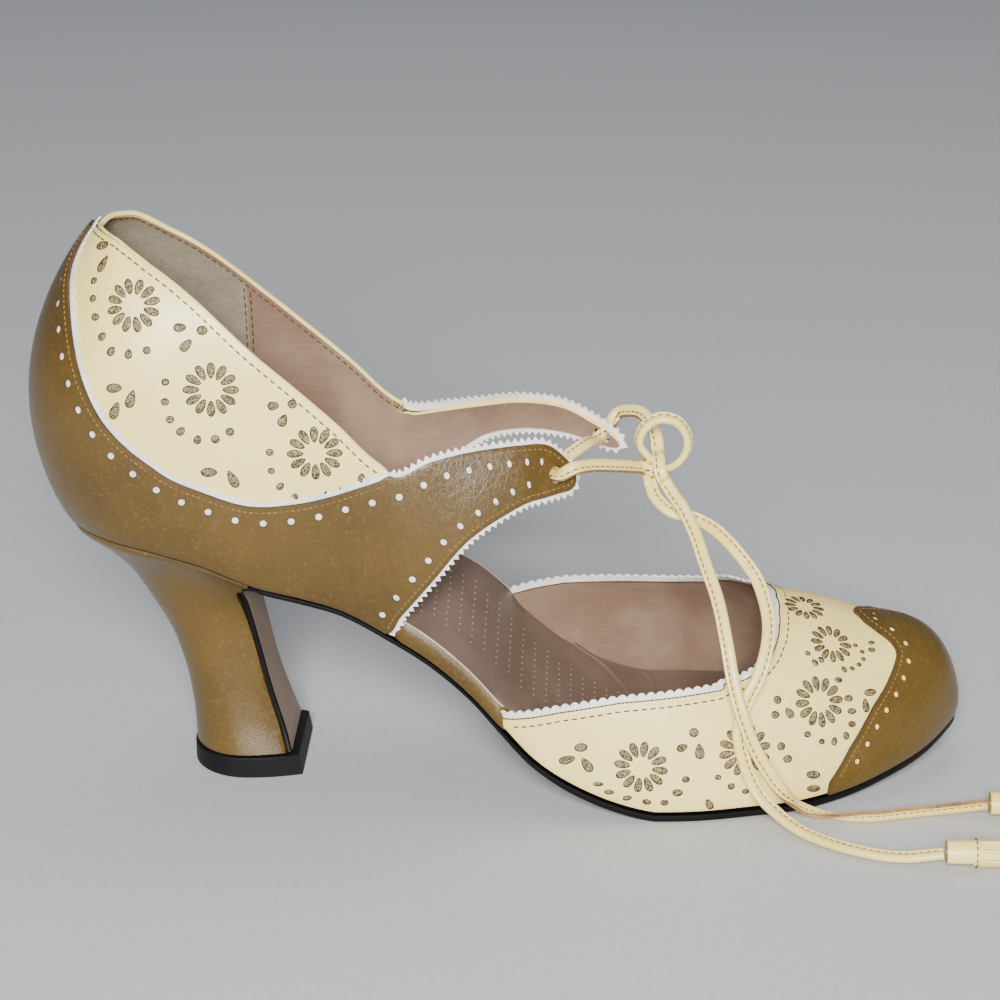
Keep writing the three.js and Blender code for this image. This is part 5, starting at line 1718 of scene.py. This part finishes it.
def edge_of_bed(places, side, inset):
    here = station_on(places, side)
    a = station_on(np.maximum(places - 0.05, 0), side)
    b = station_on(np.minimum(places + 0.05, TOE), side)
    slope = np.minimum(np.abs((b["y"] - a["y"]) / (b["x"] - a["x"])), 6)
    edge = here["y"] - side * inset * np.hypot(1, slope)
    middle = (station_on(places, -1)["y"] + station_on(places, 1)["y"]) / 2
    return np.minimum(edge, middle - 1) if side < 0 else np.maximum(edge, middle + 1)


def bed(extra):
    """Rows across the bed: place, both edges, height at the middle line, and tilt."""
    first = float(station_at(0.042 * LENGTH + UNDER_UPPER + extra + 0.4))
    last = float(station_at(LENGTH - UNDER_UPPER - extra - 1.4))
    places = np.linspace(first, last, 150)
    near, far = both_sides(places)
    share = near["x"] / LENGTH
    into = np.clip((share - OPEN_FROM) / OPEN_BLEND, 0, 1)
    out = np.clip((OPEN_TO - share) / OPEN_BLEND, 0, 1)
    inset = UNDER_UPPER - (UNDER_UPPER - GAP) * np.minimum(into, out) + extra
    a, b = edge_of_bed(places, -1, inset), edge_of_bed(places, 1, inset)
    tilt = (far["z"] - near["z"]) / (far["y"] - near["y"])
    return near["x"], a, b, near["z"] - tilt * near["y"], tilt


def sheet_rings(x, a, b, base, tilt, low, high, bulge, rounding):
    """Rings of a flat sheet whose sides are rounded and bulge out a little."""
    side = []
    for share in np.linspace(0, 1, 6):
        inset = rounding * share ** 6 - bulge * math.sin(math.pi * min(share * 1.1, 1))
        side.append((low + (high - low) * share, inset))
    profile = [(0, low, 0.5)] + [(share, low, 0) for share in (0.25, 0.5, 0.75)] + [(1, low, 0.5)]
    profile += [(1, level, inset) for level, inset in side]
    profile += [(share, high, 0) for share in np.linspace(0.92, 0.08, 9)]
    profile += [(0, level, inset) for level, inset in side[::-1]]
    inwards = {0: 1, 1: -1}
    rings = []
    for k in range(len(x)):
        ring = []
        for share, level, inset in profile:
            y = a[k] + (b[k] - a[k]) * share + inwards.get(share, 0) * inset
            ring.append([x[k], y, base[k] + tilt[k] * y + level])
        rings.append(np.array(ring))
    return rings


BOARD_TOP = GAP + BOARD + 0.9
SOCK_LOW = BOARD + 2 * GAP - 0.2
SOCK_TOP = SOCK_LOW + 1.1
SOCK_EDGE_RADIUS = 0.24
EDGE_FROM = 82
EDGE_TO = 116

# The sock's front edge and the fold before it: places on the bed, and how high each stands.
SOCK_RIDGES = [
    ([[132, 32], [137.5, 30.5], [141.5, 26], [145, 18.8], [147.5, 9], [148, -2], [146.5, -13],
      [143, -24]], 0.42),
    ([[150, 32], [151.8, 28], [152.4, 22], [152, 15], [150.5, 8]], 0.3),
]


def sides_of(line):
    way = directions(line)
    side = unit(np.cross(way, [0, 0, 1.0]))
    return side, np.cross(side, way)


def make_bed():
    rings = sheet_rings(*bed(0.0), GAP, BOARD_TOP, 0.35, 0.35)
    piece("board_cover", *loft(rings), [TAN_HEEL], "tan_leather", ["insole"])
    x, a, b, base, tilt = bed(0.75)
    rings = sheet_rings(x, a, b, base, tilt, SOCK_LOW, SOCK_TOP, 0.0, 0.3)
    piece("sock", *loft(rings), [SOCK_LEATHER], "sock_lining", ["sock_lining"])
    parts = []
    for edge in (a, b):
        line = np.column_stack([x, edge, base + tilt * edge + SOCK_TOP - 0.15])
        line = line[(x > EDGE_FROM) & (x < EDGE_TO)]
        rings = round_rings(line, *sides_of(line), SOCK_EDGE_RADIUS, SOCK_EDGE_RADIUS, 8)
        parts.append(loft(rings))
    piece("sock_edge", *join(parts), [SOCK_PALE], "sock_lining")
    parts = []
    for route, height in SOCK_RIDGES:
        line = smooth_line(np.column_stack([route, np.zeros(len(route))]), 1.0)
        level = np.interp(line[:, 0], x, base) + np.interp(line[:, 0], x, tilt) * line[:, 1]
        line[:, 2] = level + SOCK_TOP - 0.1
        upwards = np.tile([0, 0, 1.0], (len(line), 1))
        parts.append(loft(round_rings(line, sides_of(line)[0], upwards, 2.5 * height, height, 10)))
    piece("sock_folds", *join(parts), [SOCK_LEATHER], "sock_lining")


# The heel's outline from the tip, 0, to the seat, 1.
HEEL = Rows("level back front half frontHalf", [
    [0, 0.165, 0.276, 0.382, 0.32], [0.153, 0.163, 0.262, 0.325, 0.26],
    [0.325, 0.156, 0.25, 0.297, 0.235], [0.5, 0.142, 0.24, 0.3, 0.235],
    [0.664, 0.1193, 0.232, 0.342, 0.26], [0.792, 0.099, 0.229, 0.416, 0.33],
    [0.883, 0.076, 0.232, 0.5, 0.43], [0.956, 0.0522, 0.236, 0.59, 0.55],
    [1, 0.0432, 0.2395, 0.642, 0.642],
])
HEEL_STEPS = 26

# The tip's rings: height, how far it stands out, how far its front leans, and how much longer it is.
TIP_RINGS = [
    (0, 0.95, 0.0085, 1.0), (0.35, 1.3, 0.0083, 1.02), (TIP - 0.35, 1.3, 0.0047, 1.02),
    (TIP, 1.0, 0.0045, 1.0),
]


def heel_outline(row):
    """From the back to the front: place along, and half the width there."""
    back, front = row["back"] * LENGTH, row["front"] * LENGTH
    half, front_half = row["half"] * HALF_BALL, row["frontHalf"] * HALF_BALL
    middle = (back + front) / 2
    share = np.linspace(0, 1, HEEL_STEPS + 1)
    bent = np.where(share < 0.5, 1 - np.cos(share * math.pi), share * 2)
    x = back + (middle - back) * bent
    rear = half * np.sqrt(np.maximum(0, 1 - ((middle - x) / (middle - back)) ** 2))
    fore = half - (half - front_half) * ((x - middle) / (front - middle)) ** 2
    return x, np.maximum(np.where(x < middle, rear, fore), 0.02)


def mirrored(x, y, z):
    """A closed ring from one half of it."""
    return np.vstack([np.column_stack([x, -y, z]), np.column_stack([x, y, z])[::-1]])


def make_heel():
    """The block meets the seat above and the sole's flap in front."""
    top_x, _ = heel_outline(HEEL.row(-1))
    places = station_at(top_x)
    seat_y = np.maximum(np.abs(station_on(places, 1)["y"]) - 0.2, 0.02)
    seat_z = station_on(places, -1)["z"]
    line, _, turn = sole_line()
    flap = line[turn - 3:]
    flap = flap[np.argsort(flap[:, 1])]
    base = TIP + GAP
    last = len(HEEL.values) - 1
    rings = []
    for step in np.linspace(0, last, 60):
        found = HEEL.smooth(np.array([step]), HEEL.values[0], HEEL.values[-1])
        row = {name: value[0] for name, value in found.items()}
        x, y = heel_outline(row)
        near_seat = max(0, step - last + 1)
        x = x + (top_x - x) * near_seat
        y = y + (seat_y - y) * near_seat
        z = base + (seat_z - base) * min(row["level"], 1)
        limit = np.interp(z, flap[:, 1], flap[:, 0]) - line[turn, 5] - 0.1
        rings.append(mirrored(np.minimum(x, limit), y, z))
    piece("heel_cover", *loft(rings), [TAN_HEEL], "tan_leather", ["heel"])


def make_heel_tip():
    foot = HEEL.row(0)
    middle = (foot["back"] + foot["front"]) / 2 * LENGTH
    rings = []
    for z, grow, lean, stretch in TIP_RINGS:
        x, y = heel_outline({**foot, "front": foot["front"] + lean})
        rings.append(mirrored(middle + (x - middle) * stretch, y + grow, np.full(len(x), z)))
    piece("heel_rubber", *loft(rings), [RUBBER], "heel_rubber", ["heel_tip"], smooth=30)


make_laces()
make_quarter()
make_vamp()
make_toe_cap()
make_sole()
make_bed()
make_heel()
make_heel_tip()


# Floor and light
FLOOR_TONES = (colour(184, 186, 190), colour(190, 192, 196))


def floor_finish():
    grain = noise(place_mm(), 0.6, 4.0)
    return {"Base Color": grain.ramp(0.3, 0.7).blend(*FLOOR_TONES), "Roughness": 0.75}


def make_floor():
    mesh = bpy.data.meshes.new("floor")
    half = FLOOR_SIZE / 2
    corners = [(-half, -half, 0), (half, -half, 0), (half, half, 0), (-half, half, 0)]
    mesh.from_pydata(corners, [], [(0, 1, 2, 3)])
    mesh.materials.append(material("floor", floor_finish))
    floor = bpy.data.objects.new("floor", mesh)
    bpy.context.scene.collection.objects.link(floor)


# Lights: place, size, power and tint. All of them look at the shoe.
LIGHTS = {
    "key": ((0.0, -1.25, 0.66), 0.4, 42, (1.0, 0.98, 0.94)),
    "top": ((-0.1, 0.6, 1.6), 1.2, 8, (0.95, 0.98, 1.0)),
    "fill": ((1.0, -0.9, 1.0), 1.2, 1.5, (1.0, 1.0, 1.0)),
}
LIGHT_AIM = np.array([0, 0, 0.05])
SKY = (0.86, 0.9, 0.96, 1)
SKY_STRENGTH = 0.2


def turn_towards(aim):
    tilt = math.acos(-aim[2] / np.linalg.norm(aim))
    return (tilt, 0.0, math.atan2(aim[1], aim[0]) - math.pi / 2)


def make_lights():
    for name, (place, size, power, tint) in LIGHTS.items():
        data = bpy.data.lights.new(name, "AREA")
        data.size = size
        data.energy = power
        data.color = tint
        light = bpy.data.objects.new(name, data)
        light.location = place
        light.rotation_euler = turn_towards(LIGHT_AIM - np.array(place))
        bpy.context.scene.collection.objects.link(light)
    world = bpy.data.worlds.new("studio")
    bpy.context.scene.world = world
    world.use_nodes = True
    background = world.node_tree.nodes["Background"]
    background.inputs["Color"].default_value = SKY
    background.inputs["Strength"].default_value = SKY_STRENGTH


make_floor()
make_lights()
